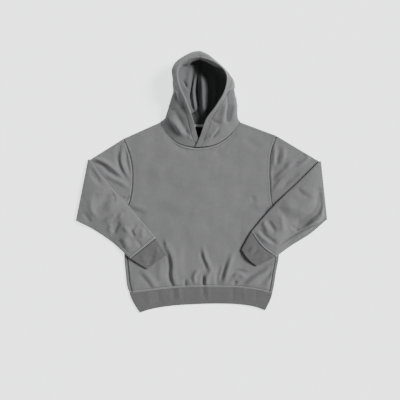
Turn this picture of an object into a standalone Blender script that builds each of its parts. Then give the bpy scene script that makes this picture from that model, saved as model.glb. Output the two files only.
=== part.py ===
"""Pullover hoodie laid on its back with both sleeves folded in over the body.

Lengths are in millimetres until add_solid scales them and moves the middle of the
whole garment onto the origin. X runs across the body, Y runs
from the hem to the hood and Z runs up from the surface. Sides are the wearer's own,
so the right side of the garment has negative X.
"""

import math

import bpy
import numpy as np

MM = 0.001
MIDDLE = (0.2, -6.1, 0.0)
FLEECE = 2.0
RIB = 2.2
HOOD_OUTER = 1.7
HOOD_LINING = 1.6
SEAM = 0.3
LAYER_MID = 6.0
SHOULDER_MID = 4.2
NECK_MID = 9.5
CHEST_LOFT = 3.0
CURL = 2.5
WRAP_OVER = 8.5
FOLD_HEIGHT = 6.5
FOLD_AXIS_Z = 7.0
FOLD_REACH = 3.75
SUPPORT_Z = 11.8
SLACK_Z = 0.6
HOOD_X = -4.5
HOOD_FLOOR_Z = 2.0
FLAP_STEP = 4.4

# Outline of the body, hem seam to armpit: y, x on the right side, x on the left side.
SIDES = (
    (-402.0, -262.0, 258.0),
    (-384.0, -269.0, 262.5),
    (-330.0, -276.0, 271.0),
    (-275.0, -281.0, 281.0),
    (-180.0, -280.5, 280.0),
    (-125.0, -275.0, 271.0),
    (-92.0, -270.0, 262.0),
)

# Armhole seams, armpit to shoulder tip: y, x on the right side, x on the left side.
ARMHOLES = (
    (-92.0, -270.0, 262.0),
    (-80.0, -264.0, 257.0),
    (-44.0, -255.0, 251.0),
    (-15.0, -251.5, 249.0),
    (51.0, -251.5, 247.5),
    (109.0, -264.0, 253.0),
    (157.0, -284.0, 272.0),
)

# Hem seam and lower edge of the hem: share of the width, seam y, edge y.
HEM = (
    (0.0, -402.0, -475.0),
    (0.08, -397.0, -463.0),
    (0.25, -386.0, -450.0),
    (0.4, -379.0, -445.0),
    (0.6, -378.0, -442.0),
    (0.8, -381.0, -445.0),
    (0.93, -392.0, -455.0),
    (1.0, -402.0, -467.0),
)
HEM_EDGE_X = (-224.0, 231.0)

# Neck seams across the neck: share of the width, front y, back y.
NECK = (
    (0.0, 217.0, 217.0),
    (0.08, 181.0, 213.0),
    (0.19, 147.0, 208.0),
    (0.29, 133.5, 205.5),
    (0.5, 125.0, 204.0),
    (0.7, 137.0, 205.0),
    (0.84, 162.0, 208.0),
    (0.93, 190.0, 213.0),
    (1.0, 217.0, 217.0),
)
NECK_X = (-150.0, 141.0)
LEFT_TIP_RISE = 11.0

# Folds that run up from the hem: x and y at the hem, x and y at the top, half width, height.
HEM_FOLDS = (
    (-96.0, -388.0, -118.0, -265.0, 13.0, -4.2),
    (-80.0, -378.0, -82.0, -235.0, 15.0, 3.4),
    (-166.0, -380.0, -214.0, -320.0, 12.0, -2.6),
    (6.0, -372.0, 6.0, -338.0, 9.0, -4.4),
    (20.0, -310.0, 2.0, -246.0, 11.0, -2.6),
    (-26.0, -345.0, 0.0, -318.0, 10.0, 3.2),
    (75.0, -320.0, 100.0, -275.0, 12.0, -3.0),
    (122.0, -372.0, 200.0, -330.0, 10.0, -3.0),
    (112.0, -335.0, 158.0, -335.0, 10.0, 3.0),
    (209.0, -372.0, 249.0, -325.0, 10.0, -2.6),
)

# Hood rim, neck to forehead: share of the height, x, y, z.
RIM_RIGHT = (
    (0.0, 12.0, 126.0, 10.0),
    (0.14, -12.0, 154.0, 17.0),
    (0.3, -31.0, 214.0, 41.0),
    (0.5, -58.0, 282.0, 72.0),
    (0.7, -84.0, 345.0, 90.0),
    (0.85, -83.0, 398.0, 90.0),
    (0.94, -50.0, 425.0, 83.0),
    (0.97, -29.0, 432.0, 81.0),
    (1.0, HOOD_X, 434.0, 79.0),
)
RIM_LEFT = (
    (0.0, -22.0, 127.5, 14.0),
    (0.14, -4.0, 165.0, 25.0),
    (0.3, 17.0, 222.0, 44.0),
    (0.5, 50.0, 264.0, 70.0),
    (0.7, 83.0, 322.0, 88.0),
    (0.85, 85.0, 376.0, 89.0),
    (0.94, 55.0, 409.0, 85.0),
    (0.97, 29.0, 424.0, 82.0),
    (1.0, HOOD_X, 434.0, 79.0),
)

# Middle of each hood flap, between the rim and the side: share of the height, x, y, z.
FLAP_RIGHT = (
    (0.0, -76.0, 136.0, 8.0),
    (0.14, -78.0, 178.0, 20.0),
    (0.3, -80.0, 236.0, 39.0),
    (0.5, -90.0, 295.0, 62.0),
    (0.7, -98.0, 352.0, 74.0),
    (0.85, -96.0, 406.0, 76.0),
    (0.94, -56.0, 440.0, 74.0),
    (0.97, -31.0, 449.5, 73.0),
    (1.0, HOOD_X, 452.0, 72.0),
)
FLAP_LEFT = (
    (0.0, 62.0, 133.0, 8.0),
    (0.14, 68.0, 184.0, 24.0),
    (0.3, 78.0, 236.0, 40.0),
    (0.5, 98.0, 284.0, 57.0),
    (0.7, 106.0, 338.0, 68.0),
    (0.85, 89.0, 384.0, 72.0),
    (0.94, 48.0, 422.0, 74.0),
    (0.97, 23.0, 441.0, 73.0),
    (1.0, HOOD_X, 452.0, 72.0),
)

# Widest line of the hood: share of the height, x, y, z.
SIDE_RIGHT = (
    (0.0, -150.0, 217.3, 4.5),
    (0.14, -132.0, 229.0, 15.0),
    (0.3, -120.0, 256.0, 27.0),
    (0.5, -108.0, 302.0, 40.0),
    (0.7, -100.0, 354.0, 50.0),
    (0.85, -96.0, 408.0, 54.0),
    (0.94, -57.0, 444.0, 52.0),
    (0.97, -32.0, 457.5, 51.0),
    (1.0, HOOD_X, 461.0, 50.0),
)
SIDE_LEFT = (
    (0.0, 141.0, 217.3, 4.5),
    (0.14, 131.0, 228.0, 14.0),
    (0.3, 127.0, 250.0, 24.0),
    (0.5, 123.0, 296.0, 34.0),
    (0.7, 112.0, 345.0, 42.0),
    (0.85, 90.0, 388.0, 48.0),
    (0.94, 49.0, 427.0, 50.0),
    (0.97, 22.0, 448.0, 50.0),
    (1.0, HOOD_X, 461.0, 50.0),
)

# Where the back of the hood meets the surface: share of the height, x, y, centre seam y.
FLOOR_RIGHT = (
    (0.0, -132.0, 213.5, 204.0),
    (0.14, -108.0, 228.0, 224.0),
    (0.3, -98.0, 254.0, 252.0),
    (0.5, -84.0, 300.0, 304.0),
    (0.7, -74.0, 350.0, 356.0),
    (0.85, -62.0, 398.0, 398.0),
    (0.94, -36.0, 428.0, 422.0),
    (0.97, -21.0, 438.0, 429.0),
    (1.0, HOOD_X, 444.0, 434.0),
)
FLOOR_LEFT = (
    (0.0, 122.0, 213.5, 204.0),
    (0.14, 104.0, 228.0, 224.0),
    (0.3, 100.0, 254.0, 252.0),
    (0.5, 94.0, 300.0, 304.0),
    (0.7, 84.0, 348.0, 356.0),
    (0.85, 62.0, 384.0, 398.0),
    (0.94, 34.0, 416.0, 422.0),
    (0.97, 17.0, 432.0, 429.0),
    (1.0, HOOD_X, 444.0, 434.0),
)
ROW_SHARES = (0.0, 0.17, 0.34, 0.42, 0.5, 0.6, 0.8, 1.0)

# Slack lining on the right, rim to centre seam: share of the row, way across, height kept.
HANG = (
    (0.0, 0.0, 1.0),
    (0.1, 0.05, 0.72),
    (0.25, 0.2, 0.52),
    (0.5, 0.52, 0.3),
    (0.75, 0.82, 0.08),
    (1.0, 1.0, 0.0),
)
HANG_START = (2.0, 1.4)

# Sleeve corners and edges, each given for the right side and then the left side.
FOLD_OVERARM = ((-405.0, 81.0), (427.0, 75.0))
FOLD_UNDERARM = ((-449.5, -143.0), (449.5, -140.0))
FOREARM_OVER = (
    ((-405.0, 81.0), (-319.0, -28.0), (-268.0, -82.0), (-164.5, -203.0)),
    ((427.0, 75.0), (355.0, 5.0), (256.0, -91.0), (178.5, -180.0)),
)
FOREARM_UNDER = (
    ((-449.5, -143.0), (-395.0, -172.0), (-325.0, -219.0), (-257.0, -278.0)),
    ((449.5, -140.0), (400.0, -185.0), (328.0, -231.0), (268.0, -272.0)),
)
CUFF_OVER_END = ((-126.0, -262.5), (143.0, -243.5))
CUFF_UNDER_END = ((-196.5, -315.5), (199.5, -304.5))
CUFF_BOW = (0.0, 9.0)
CUFF_GAPE = (7.4, 12.0)


def blend(low, high, value):
    share = np.clip((value - low) / (high - low), 0.0, 1.0)
    return share * share * (3.0 - 2.0 * share)


def smooth(stops, values, at):
    """Cubic curve through a short list of stops."""
    stops = np.asarray(stops, float)
    values = np.asarray(values, float)
    at = np.clip(np.asarray(at, float), stops[0], stops[-1])
    steps = np.diff(stops)
    slopes = np.diff(values, axis=0) / (steps if values.ndim == 1 else steps[:, None])
    tangents = np.empty_like(values)
    tangents[0] = slopes[0]
    tangents[-1] = slopes[-1]
    tangents[1:-1] = 0.5 * (slopes[:-1] + slopes[1:])
    k = np.clip(np.searchsorted(stops, at, side="right") - 1, 0, len(stops) - 2)
    h = steps[k]
    u = (at - stops[k]) / h
    if values.ndim > 1:
        h = h[..., None]
        u = u[..., None]
    return (
        (2 * u**3 - 3 * u**2 + 1) * values[k]
        + (u**3 - 2 * u**2 + u) * h * tangents[k]
        + (3 * u**2 - 2 * u**3) * values[k + 1]
        + (u**3 - u**2) * h * tangents[k + 1]
    )


def column(table, index):
    return [row[index] for row in table]


def along(points, shares):
    """Points at shares of the length of a bent line."""
    points = np.asarray(points, float)
    steps = np.linalg.norm(np.diff(points, axis=0), axis=1)
    stops = np.concatenate([[0.0], np.cumsum(steps)]) / steps.sum()
    return smooth(stops, points, shares)


def add_solid(name, points, faces, colour):
    mesh = bpy.data.meshes.new(name)
    mesh.from_pydata(((np.asarray(points) - MIDDLE) * MM).tolist(), [], faces)
    material = bpy.data.materials.new(name)
    material.use_nodes = True
    shader = material.node_tree.nodes["Principled BSDF"]
    shader.inputs["Base Color"].default_value = (*colour, 1.0)
    shader.inputs["Roughness"].default_value = 0.9
    mesh.materials.append(material)
    solid = bpy.data.objects.new(name, mesh)
    bpy.context.scene.collection.objects.link(solid)
    return solid


def halves(a, b, c, d):
    """A four-cornered face cut along the same diagonal on both sides of the cloth."""
    return [[a, b, c], [a, c, d]]


def sheet(name, upper, lower, colour, turn=False):
    """Closed sheet between two grids of points, with a strip round its edge."""
    rows, columns = upper.shape[:2]
    count = rows * columns

    def at(row, col, layer):
        return layer * count + row * columns + col

    faces = []
    for row in range(rows - 1):
        for col in range(columns - 1):
            corners = ((row, col), (row, col + 1), (row + 1, col + 1), (row + 1, col))
            for face in halves(*(at(r, c, 0) for r, c in corners)):
                faces += [face, [corner + count for corner in reversed(face)]]
    edge = [(0, c) for c in range(columns)]
    edge += [(r, columns - 1) for r in range(1, rows)]
    edge += [(rows - 1, c) for c in range(columns - 2, -1, -1)]
    edge += [(r, 0) for r in range(rows - 2, 0, -1)]
    for first, second in zip(edge, edge[1:] + edge[:1]):
        faces += halves(at(*second, 0), at(*first, 0), at(*first, 1), at(*second, 1))
    if turn:
        faces = [face[::-1] for face in faces]
    points = np.concatenate([upper.reshape(-1, 3), lower.reshape(-1, 3)])
    return add_solid(name, points, faces, colour)


def tube(name, outside, inside, colour, turn=False):
    """Open tube through rings of points, with a flat ring at each end."""
    rings, around = outside.shape[:2]
    count = rings * around

    def at(ring, step, layer):
        return layer * count + ring * around + step % around

    faces = []
    for ring in range(rings - 1):
        for step in range(around):
            corners = ((ring, step), (ring, step + 1), (ring + 1, step + 1), (ring + 1, step))
            for face in halves(*(at(r, c, 0) for r, c in corners)):
                faces += [face, [corner + count for corner in reversed(face)]]
    last = rings - 1
    for step in range(around):
        faces += halves(at(0, step + 1, 0), at(0, step, 0), at(0, step, 1), at(0, step + 1, 1))
        faces += halves(
            at(last, step, 0), at(last, step + 1, 0), at(last, step + 1, 1), at(last, step, 1)
        )
    if turn:
        faces = [face[::-1] for face in faces]
    points = np.concatenate([outside.reshape(-1, 3), inside.reshape(-1, 3)])
    return add_solid(name, points, faces, colour)


def neck_share(x):
    return (x - NECK_X[0]) / (NECK_X[1] - NECK_X[0])


def top_y(x, back):
    """Upper edge of a body panel: the shoulders and the neck between them."""
    neck = smooth(column(NECK, 0), column(NECK, 2 if back else 1), neck_share(x))
    tips = (ARMHOLES[-1][1], ARMHOLES[-1][2])
    right = np.interp(x, (tips[0], NECK_X[0]), (ARMHOLES[-1][0], NECK[0][1]))
    left = np.interp(x, (NECK_X[1], tips[1]), (NECK[-1][1], ARMHOLES[-1][0] + LEFT_TIP_RISE))
    return np.where(x < NECK_X[0], right, np.where(x > NECK_X[1], left, neck))


def top_z(x):
    """Mid height of the front panel along its upper edge."""
    share = np.clip(neck_share(x), 0.0, 1.0)
    return SHOULDER_MID + (NECK_MID - SHOULDER_MID) * np.sin(math.pi * share) ** 0.8


def outline_x(y, side):
    """Body outline on one side, from the hem seam to the shoulder tip."""
    top = ARMHOLES[-1][0] + (LEFT_TIP_RISE if side else 0.0)
    stretch = np.where(y > ARMHOLES[-2][0], (top - ARMHOLES[-2][0]) / 48.0, 1.0)
    level = np.where(y > ARMHOLES[-2][0], ARMHOLES[-2][0] + (y - ARMHOLES[-2][0]) / stretch, y)
    body = smooth(column(SIDES, 0), column(SIDES, 1 + side), level)
    armhole = smooth(column(ARMHOLES, 0), column(ARMHOLES, 1 + side), level)
    return np.where(level < ARMHOLES[0][0], body, armhole)


def wrap_length(y):
    """Cloth of the back panel that curls up and over each side."""
    return 1.0 + (math.pi * CURL + WRAP_OVER - 1.0) * blend(-96.0, -150.0, y)


def hem_y(share, edge):
    return smooth(column(HEM, 0), column(HEM, 2 if edge else 1), share)


def coons(bottom, top, left, right, across, up):
    """Grid between four edge lines."""
    u = across[None, :, None]
    v = up[:, None, None]
    ruled = (1 - v) * bottom[None] + v * top[None] + (1 - u) * left[:, None] + u * right[:, None]
    corners = (1 - v) * ((1 - u) * left[0] + u * right[0]) + v * ((1 - u) * left[-1] + u * right[-1])
    return ruled - corners


def panel_grid(across, up, back):
    """Mid surface of the flat part of a body panel."""
    armpit = ARMHOLES[0][0]
    levels = []
    for side in (0, 1):
        stops = (0.0, ARMPIT_SHARE, 1.0)
        levels.append(np.interp(up, stops, (HEM[0][1], armpit, SHOULDER_TIPS[side])))
    edges = []
    for side, sign in ((0, 1.0), (1, -1.0)):
        y = levels[side]
        excess = wrap_length(y)
        over = np.maximum(excess - math.pi * CURL, 0.0)
        if back:
            inset = 1.5 + (CURL + FLEECE / 2 - 1.5) * blend(1.0, 6.0, excess)
        else:
            inset = SEAM / 2 + 3.9 * blend(1.0, 5.0, excess) + over
        x = outline_x(y, side) + sign * inset
        z = LAYER_MID + (SHOULDER_MID - LAYER_MID) * blend(100.0, 160.0, y)
        edges.append(np.stack([x, y, z], axis=1))
    left, right = edges
    x = left[0, 0] + (right[0, 0] - left[0, 0]) * across
    share = (x - SIDES[0][1]) / (SIDES[0][2] - SIDES[0][1])
    bottom = np.stack([x, hem_y(share, False) + SEAM / 2, np.full_like(x, LAYER_MID)], axis=1)
    x = left[-1, 0] + (right[-1, 0] - left[-1, 0]) * across
    top = np.stack([x, top_y(x, back) - SEAM / 2, top_z(x)], axis=1)
    left[0] = bottom[0]
    right[0] = bottom[-1]
    left[-1] = top[0]
    right[-1] = top[-1]
    return coons(bottom, top, left, right, across, up)


def hem_folds(x, y):
    """Height of the soft folds that the hem rib gathers into the front panel."""
    total = np.zeros_like(x)
    for x0, y0, x1, y1, width, height in HEM_FOLDS:
        run = np.array([x1 - x0, y1 - y0])
        length = np.linalg.norm(run)
        run = run / length
        ahead = (x - x0) * run[0] + (y - y0) * run[1]
        aside = (x - x0) * run[1] - (y - y0) * run[0]
        share = np.clip(ahead / length, 0.0, 1.0)
        past = ahead - share * length
        away = np.hypot(aside, past)
        total += height * (1.0 - 0.55 * share) * np.exp(-((away / width) ** 2))
    return total


def body_loft(x, y, u, v):
    side = np.minimum(1.0, np.minimum(u, 1 - u) / 0.16)
    end = np.minimum(1.0, np.minimum(v / 0.12, (1 - v) / 0.16))
    rise = CHEST_LOFT * np.sin(side * math.pi / 2) * np.sin(end * math.pi / 2)
    near_hem = blend(0.0, 0.05, v)
    return rise + hem_folds(x, y) * (0.35 + 0.65 * near_hem) * blend(0.0, 0.05, np.minimum(u, 1 - u))


def grid_stops(pieces):
    """Stops from 0 to 1 with a chosen number of steps in each stretch."""
    stops = [0.0]
    for end, steps in pieces:
        stops += list(np.linspace(stops[-1], end, steps + 1)[1:])
    return np.array(stops)


def panel_columns(shoulder, between):
    """Columns that meet the hood at the same points of the neck seam."""
    tips = (outline_x(SHOULDER_TIPS[0], 0), outline_x(SHOULDER_TIPS[1], 1))
    right = np.linspace(NECK_X[0], RIM_RIGHT[0][1], FLAP_STEPS + 1)
    left = np.linspace(RIM_LEFT[0][1], NECK_X[1], FLAP_STEPS + 1)
    neck = np.concatenate([right, left[left > right[-1] + 5.0]])
    filled = np.interp(np.arange(0, len(neck) - 1 + 1e-6, 1.0 / between), np.arange(len(neck)), neck)
    outer_right = np.linspace(tips[0], neck[0], shoulder + 1)[:-1]
    outer_left = np.linspace(neck[-1], tips[1], shoulder + 1)[1:]
    x = np.concatenate([outer_right, filled, outer_left])
    return (x - x[0]) / (x[-1] - x[0])


FLAP_STEPS = 6
ARMHOLE_STEPS = 6
SHOULDER_TIPS = (ARMHOLES[-1][0], ARMHOLES[-1][0] + LEFT_TIP_RISE)
ARMPIT_SHARE = (ARMHOLES[0][0] - HEM[0][1]) / (ARMHOLES[-1][0] - HEM[0][1])
ACROSS_PANEL = panel_columns(4, 2)
UP_PANEL = grid_stops(((0.34, 8), (ARMPIT_SHARE, 3), (1.0, ARMHOLE_STEPS)))


def front_panel():
    grid = panel_grid(ACROSS_PANEL, UP_PANEL, back=False)
    u = np.broadcast_to(ACROSS_PANEL[None], grid.shape[:2])
    v = np.broadcast_to(UP_PANEL[:, None], grid.shape[:2])
    grid[..., 2] += body_loft(grid[..., 0], grid[..., 1], u, v)
    step = np.array([0.0, 0.0, FLEECE / 2])
    return sheet("front_panel", grid + step, grid - step, (0.23, 0.23, 0.235))


def back_panel():
    grid = panel_grid(panel_columns(4, 1), UP_PANEL, back=True)
    grid[..., 2] = FLEECE / 2
    normals = np.zeros_like(grid)
    normals[..., 2] = 1.0
    wings = []
    for index, sign in ((0, -1.0), (-1, 1.0)):
        base = grid[:, index]
        excess = wrap_length(base[:, 1])
        arc = np.minimum(excess, math.pi * CURL)
        over = excess - arc
        run = arc[:, None] * np.array([0.3, 0.6, 0.9, 1.0])[None]
        run[:, 3] += over
        turned = np.minimum(run, arc[:, None]) / CURL
        beyond = run - np.minimum(run, arc[:, None])
        wing = np.repeat(base[:, None], run.shape[1], axis=1)
        wing[..., 0] += sign * (CURL * np.sin(turned) - beyond)
        share = (wing[0, :, 0] - SIDES[0][1]) / (SIDES[0][2] - SIDES[0][1])
        wing[0, :, 1] = hem_y(share, False) + SEAM / 2
        wing[..., 2] += CURL * (1 - np.cos(turned))
        tilt = np.zeros_like(wing)
        tilt[..., 0] = -sign * np.sin(turned)
        tilt[..., 2] = np.cos(turned)
        wings.append((wing, tilt))
    grid = np.concatenate([wings[0][0][:, ::-1], grid, wings[1][0]], axis=1)
    normals = np.concatenate([wings[0][1][:, ::-1], normals, wings[1][1]], axis=1)
    inner = grid + normals * FLEECE / 2
    outer = grid - normals * FLEECE / 2
    return sheet("back_panel", inner, outer, (0.23, 0.23, 0.235))


def flat_ring(across, arcs):
    """Shares across, upper side first, and the turn of each point round a flattened ring."""
    turns = np.linspace(90.0, -90.0, arcs + 2)[1:-1]
    ring = [(share, 90.0) for share in across]
    ring += [(1.0, turn) for turn in turns]
    ring += [(share, -90.0) for share in across[::-1]]
    ring += [(0.0, -turn) for turn in turns]
    return np.array(ring)


def hem_rib():
    ring = flat_ring(panel_columns(4, 1), 3)
    stations = (0.0, 0.33, 0.67, 1.0)
    layers = []
    for shrink in (0.0, RIB):
        rings = []
        for down in stations:
            height = LAYER_MID + FLEECE / 2 + 0.2 + 2.0 * down
            radius = height / 2 - shrink
            left = SIDES[0][1] + (HEM_EDGE_X[0] - SIDES[0][1]) * down ** 1.4
            right = SIDES[0][2] + (HEM_EDGE_X[1] - SIDES[0][2]) * down ** 1.4
            turn = np.radians(ring[:, 1])
            ends = np.where(ring[:, 0] > 0.5, 1.0, -1.0)
            x = left + height / 2 + (right - left - height) * ring[:, 0]
            x = x + ends * radius * np.cos(turn)
            share = (x - left) / (right - left)
            y = hem_y(share, False) - SEAM
            y = y + (hem_y(share, True) - y) * down
            z = height / 2 + radius * np.sin(turn)
            rings.append(np.stack([x, y, z], axis=1))
        layers.append(np.array(rings))
    return tube("hem_rib", layers[0], layers[1], (0.17, 0.17, 0.175), turn=True)


def armhole_line(side, shares):
    top = ARMHOLES[-1][0] + (LEFT_TIP_RISE if side else 0.0)
    y = top + (ARMHOLES[0][0] - top) * shares
    x = outline_x(y, side) + (-SEAM / 2 if side == 0 else SEAM / 2)
    return np.stack([x, y], axis=1)


def away_from(line_start, line_end, x, y):
    """Distance to the left of a line seen from its start."""
    run = np.array(line_end) - np.array(line_start)
    run = run / np.linalg.norm(run)
    return (y - line_start[1]) * run[0] - (x - line_start[0]) * run[1]


def forearm_bed(side, x, y):
    """Height of what lies under the folded forearm."""
    sign = -1.0 if side == 0 else 1.0
    armpit = (ARMHOLES[0][1 + side], ARMHOLES[0][0])
    corner = FOLD_UNDERARM[side]
    below_sleeve = sign * away_from(armpit, corner, x, y) * -1.0
    beside_body = sign * (x - sign * 280.0)
    open_floor = np.minimum(below_sleeve, beside_body)
    rest = SLACK_Z + (SUPPORT_Z - SLACK_Z) * blend(45.0, -15.0, open_floor)
    from_fold = sign * away_from(FOLD_UNDERARM[side], FOLD_OVERARM[side], x, y)
    ramp = np.sin(np.clip(from_fold / 50.0, 0.0, 1.0) * math.pi / 2)
    start = FOLD_AXIS_Z + FOLD_REACH - FOLD_HEIGHT / 2
    return start + (rest - start) * ramp


def sleeve(side):
    """Tube from the armhole to the cuff seam, turned back on itself at the fold."""
    sign = -1.0 if side == 0 else 1.0
    ring = flat_ring(np.linspace(0.0, 1.0, ARMHOLE_STEPS + 1), 1)
    turn = np.radians(ring[:, 1])
    share = ring[:, 0]
    ends = np.where(share > 0.5, 1.0, -1.0)
    over = np.array(FOLD_OVERARM[side])
    under = np.array(FOLD_UNDERARM[side])
    fold_run = (under - over) / np.linalg.norm(under - over)
    outward = np.array([-fold_run[1], fold_run[0]])
    outward = outward * (1.0 if outward[0] * sign > 0 else -1.0)
    layers = []
    for shrink in (0.0, FLEECE):
        rings = []
        for out in (0.0, 0.12, 0.34, 0.58, 0.82, 1.0):
            armhole = armhole_line(side, share)
            straight = armhole_line(side, np.array([0.0, 1.0]))
            bow = armhole - (straight[0] + (straight[1] - straight[0]) * share[:, None])
            top = straight[0] + (over - straight[0]) * out
            low = straight[1] + (under - straight[1]) * out
            run = (low - top) / np.linalg.norm(low - top)
            width = np.linalg.norm(low - top)
            edge = LAYER_MID + FLEECE / 2 + (SHOULDER_MID - LAYER_MID) * blend(0.25, 0.0, share)
            edge = edge + (FOLD_HEIGHT - edge) * blend(0.0, 1.0, out)
            puff = 4.0 * np.sin(math.pi * out) * np.sin(math.pi * share) ** 0.7
            height = edge + puff
            radius = height / 2 - shrink
            spread = (height / 2 + (width - height) * share) / width
            seamed = np.clip(share, height / 2 / width, 1.0 - height / 2 / width)
            spread = seamed + (spread - seamed) * blend(0.0, 0.3, out)
            place = top + (low - top) * spread[:, None]
            place = place + bow * (1 - out) ** 2 + run * (ends * radius * np.cos(turn))[:, None]
            z = height / 2 + radius * np.sin(turn)
            rings.append(np.column_stack([place, z]))
        for angle in np.radians((45.0, 90.0, 135.0)):
            reach = FOLD_REACH - (FOLD_HEIGHT / 2 - shrink) * np.sin(turn)
            width = np.linalg.norm(under - over)
            rounded = FOLD_HEIGHT / 2 + (width - FOLD_HEIGHT) * share
            rounded = rounded + ends * (FOLD_HEIGHT / 2 - shrink) * np.cos(turn)
            place = over + fold_run * rounded[:, None]
            place = place + outward * (reach * math.sin(angle))[:, None]
            z = FOLD_AXIS_Z - reach * math.cos(angle)
            rings.append(np.column_stack([place, z]))
        for back in (0.0, 0.07, 0.2, 0.4, 0.6, 0.8, 1.0):
            top = along(FOREARM_OVER[side], back)
            low = along(FOREARM_UNDER[side], back)
            width = np.linalg.norm(low - top)
            run = (low - top) / width
            edge = FOLD_HEIGHT + 1.0 * blend(0.0, 0.3, back)
            puff = 9.0 * np.sin(math.pi * min(back, 0.97)) ** 0.6 * np.sin(math.pi * share) ** 0.8
            height = edge + puff
            radius = height / 2 - shrink
            place = top + (low - top) * ((edge / 2 + (width - edge) * share) / width)[:, None]
            place = place + run * (ends * (edge / 2 - shrink) * np.cos(turn))[:, None]
            bow = np.array([run[1], -run[0]]) * sign * CUFF_BOW[side] * blend(0.7, 1.0, back)
            place = place + bow * np.sin(math.pi * share)[:, None]
            bed = forearm_bed(side, place[:, 0], place[:, 1])
            z = bed + height / 2 - radius * np.sin(turn)
            rings.append(np.column_stack([place, z]))
        layers.append(np.array(rings))
    name = "sleeve_right" if side == 0 else "sleeve_left"
    return tube(name, layers[0], layers[1], (0.23, 0.23, 0.235), turn=side == 0)


def cuff(side):
    """Rib tube from the cuff seam to the open end."""
    sign = -1.0 if side == 0 else 1.0
    ring = flat_ring(np.linspace(0.0, 1.0, 7), 1)
    turn = np.radians(ring[:, 1])
    share = ring[:, 0]
    ends = np.where(share > 0.5, 1.0, -1.0)
    starts = np.array((FOREARM_OVER[side][-1], FOREARM_UNDER[side][-1]))
    stops = np.array((CUFF_OVER_END[side], CUFF_UNDER_END[side]))
    layers = []
    for shrink in (0.0, RIB):
        rings = []
        for down in (0.0, 0.3, 0.65, 1.0):
            shift = (stops - starts) / np.linalg.norm(stops - starts, axis=1)[:, None]
            top, low = starts + shift * SEAM * 1.4 + (stops - starts) * down * 0.994
            width = np.linalg.norm(low - top)
            run = (low - top) / width
            edge = FOLD_HEIGHT + 1.0
            gape = (CUFF_GAPE[side] - edge) * down * np.sin(math.pi * share)
            height = edge + gape + 1.2 * math.sin(math.pi * down) * np.sin(math.pi * share)
            radius = height / 2 - shrink
            place = top + (low - top) * ((edge / 2 + (width - edge) * share) / width)[:, None]
            place = place + run * (ends * (edge / 2 - shrink) * np.cos(turn))[:, None]
            bow = np.array([run[1], -run[0]]) * sign * CUFF_BOW[side] * (1.0 - 0.4 * down)
            place = place + bow * np.sin(math.pi * share)[:, None]
            bed = forearm_bed(side, place[:, 0], place[:, 1])
            z = bed + height / 2 - radius * np.sin(turn)
            rings.append(np.column_stack([place, z]))
        layers.append(np.array(rings))
    name = "cuff_right" if side == 0 else "cuff_left"
    return tube(name, layers[0], layers[1], (0.17, 0.17, 0.175), turn=side == 0)


def neck_row(side, shares):
    """Neck seam of one half of the hood, front to centre back."""
    rim = (RIM_RIGHT, RIM_LEFT)[side][0][1]
    point = NECK_X[side]
    split = ROW_SHARES[2]
    front = rim + (point - rim) * np.clip(shares / split, 0.0, 1.0)
    back = point + (HOOD_X - point) * np.clip((shares - split) / (1 - split), 0.0, 1.0)
    x = np.where(shares < split, front, back)
    y = np.where(shares < split, top_y(x, False), top_y(x, True)) + SEAM
    front_z = top_z(x)
    if side == 1:
        front_z = front_z + FLAP_STEP * blend(60.0, 15.0, x)
    fall = blend(split, split + 0.12, shares)
    z = np.where(shares < split, front_z, SHOULDER_MID + (HOOD_FLOOR_Z - SHOULDER_MID) * fall)
    return np.stack([x, y, z], axis=1)


def hood_grid(side, across, up):
    """Surface between the outer hood and its lining: rows run from the rim to the seam."""
    tables = (
        (RIM_RIGHT, FLAP_RIGHT, SIDE_RIGHT, FLOOR_RIGHT),
        (RIM_LEFT, FLAP_LEFT, SIDE_LEFT, FLOOR_LEFT),
    )[side]
    stops = column(RIM_RIGHT, 0)
    rim, flap, wide = (smooth(stops, [row[1:] for row in table], up) for table in tables[:3])
    floor_x, floor_y, seam_y = smooth(stops, [row[1:] for row in tables[3]], up).T
    floor = np.stack([floor_x, floor_y, np.full_like(up, HOOD_FLOOR_Z)], axis=1)
    seam = np.stack([np.full_like(up, HOOD_X), seam_y, floor[:, 2]], axis=1)
    upper = wide + (floor - wide) * np.array([0.12, 0.12, 0.55])
    lower = wide + (floor - wide) * np.array([0.5, 0.5, 0.9])
    middle = 0.5 * (floor + seam)
    rows = []
    for k in range(len(up)):
        knots = np.array([p[k] for p in (rim, flap, wide, upper, lower, floor, middle, seam)])
        row = smooth(ROW_SHARES, knots, across)
        if k == 0:
            first = row
        fade = max(0.0, 1.0 - up[k] / 0.45) ** 2
        row = row + (neck_row(side, across) - first) * fade
        rows.append(row)
    grid = np.array(rows)
    grid[..., 2] = np.maximum(grid[..., 2], HOOD_FLOOR_Z)
    inner = -1.0 if side == 0 else 1.0
    grid[:, -1, 0] = HOOD_X + inner * SEAM / 2
    grid[-1, :, 0] = HOOD_X + inner * SEAM / 2
    return grid


def hood_normals(grid, side):
    across = np.gradient(grid, axis=1)
    up = np.gradient(grid, axis=0)
    normals = np.cross(across, up) * (-1.0 if side == 0 else 1.0)
    normals[:, -1, 0] = 0.0
    normals[-1, :, 0] = 0.0
    flat = grid[..., 2] < HOOD_FLOOR_Z + 0.05
    normals[flat] = (0.0, 0.0, -1.0)
    seam_run = np.gradient(grid[0], axis=0)
    facing = np.stack([-seam_run[:, 1], seam_run[:, 0], np.zeros(len(seam_run))], axis=1)
    facing = facing / np.linalg.norm(facing, axis=1)[:, None]
    normals[0] -= facing * (normals[0] * facing).sum(axis=1)[:, None]
    return normals / np.linalg.norm(normals, axis=2)[..., None]


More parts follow.
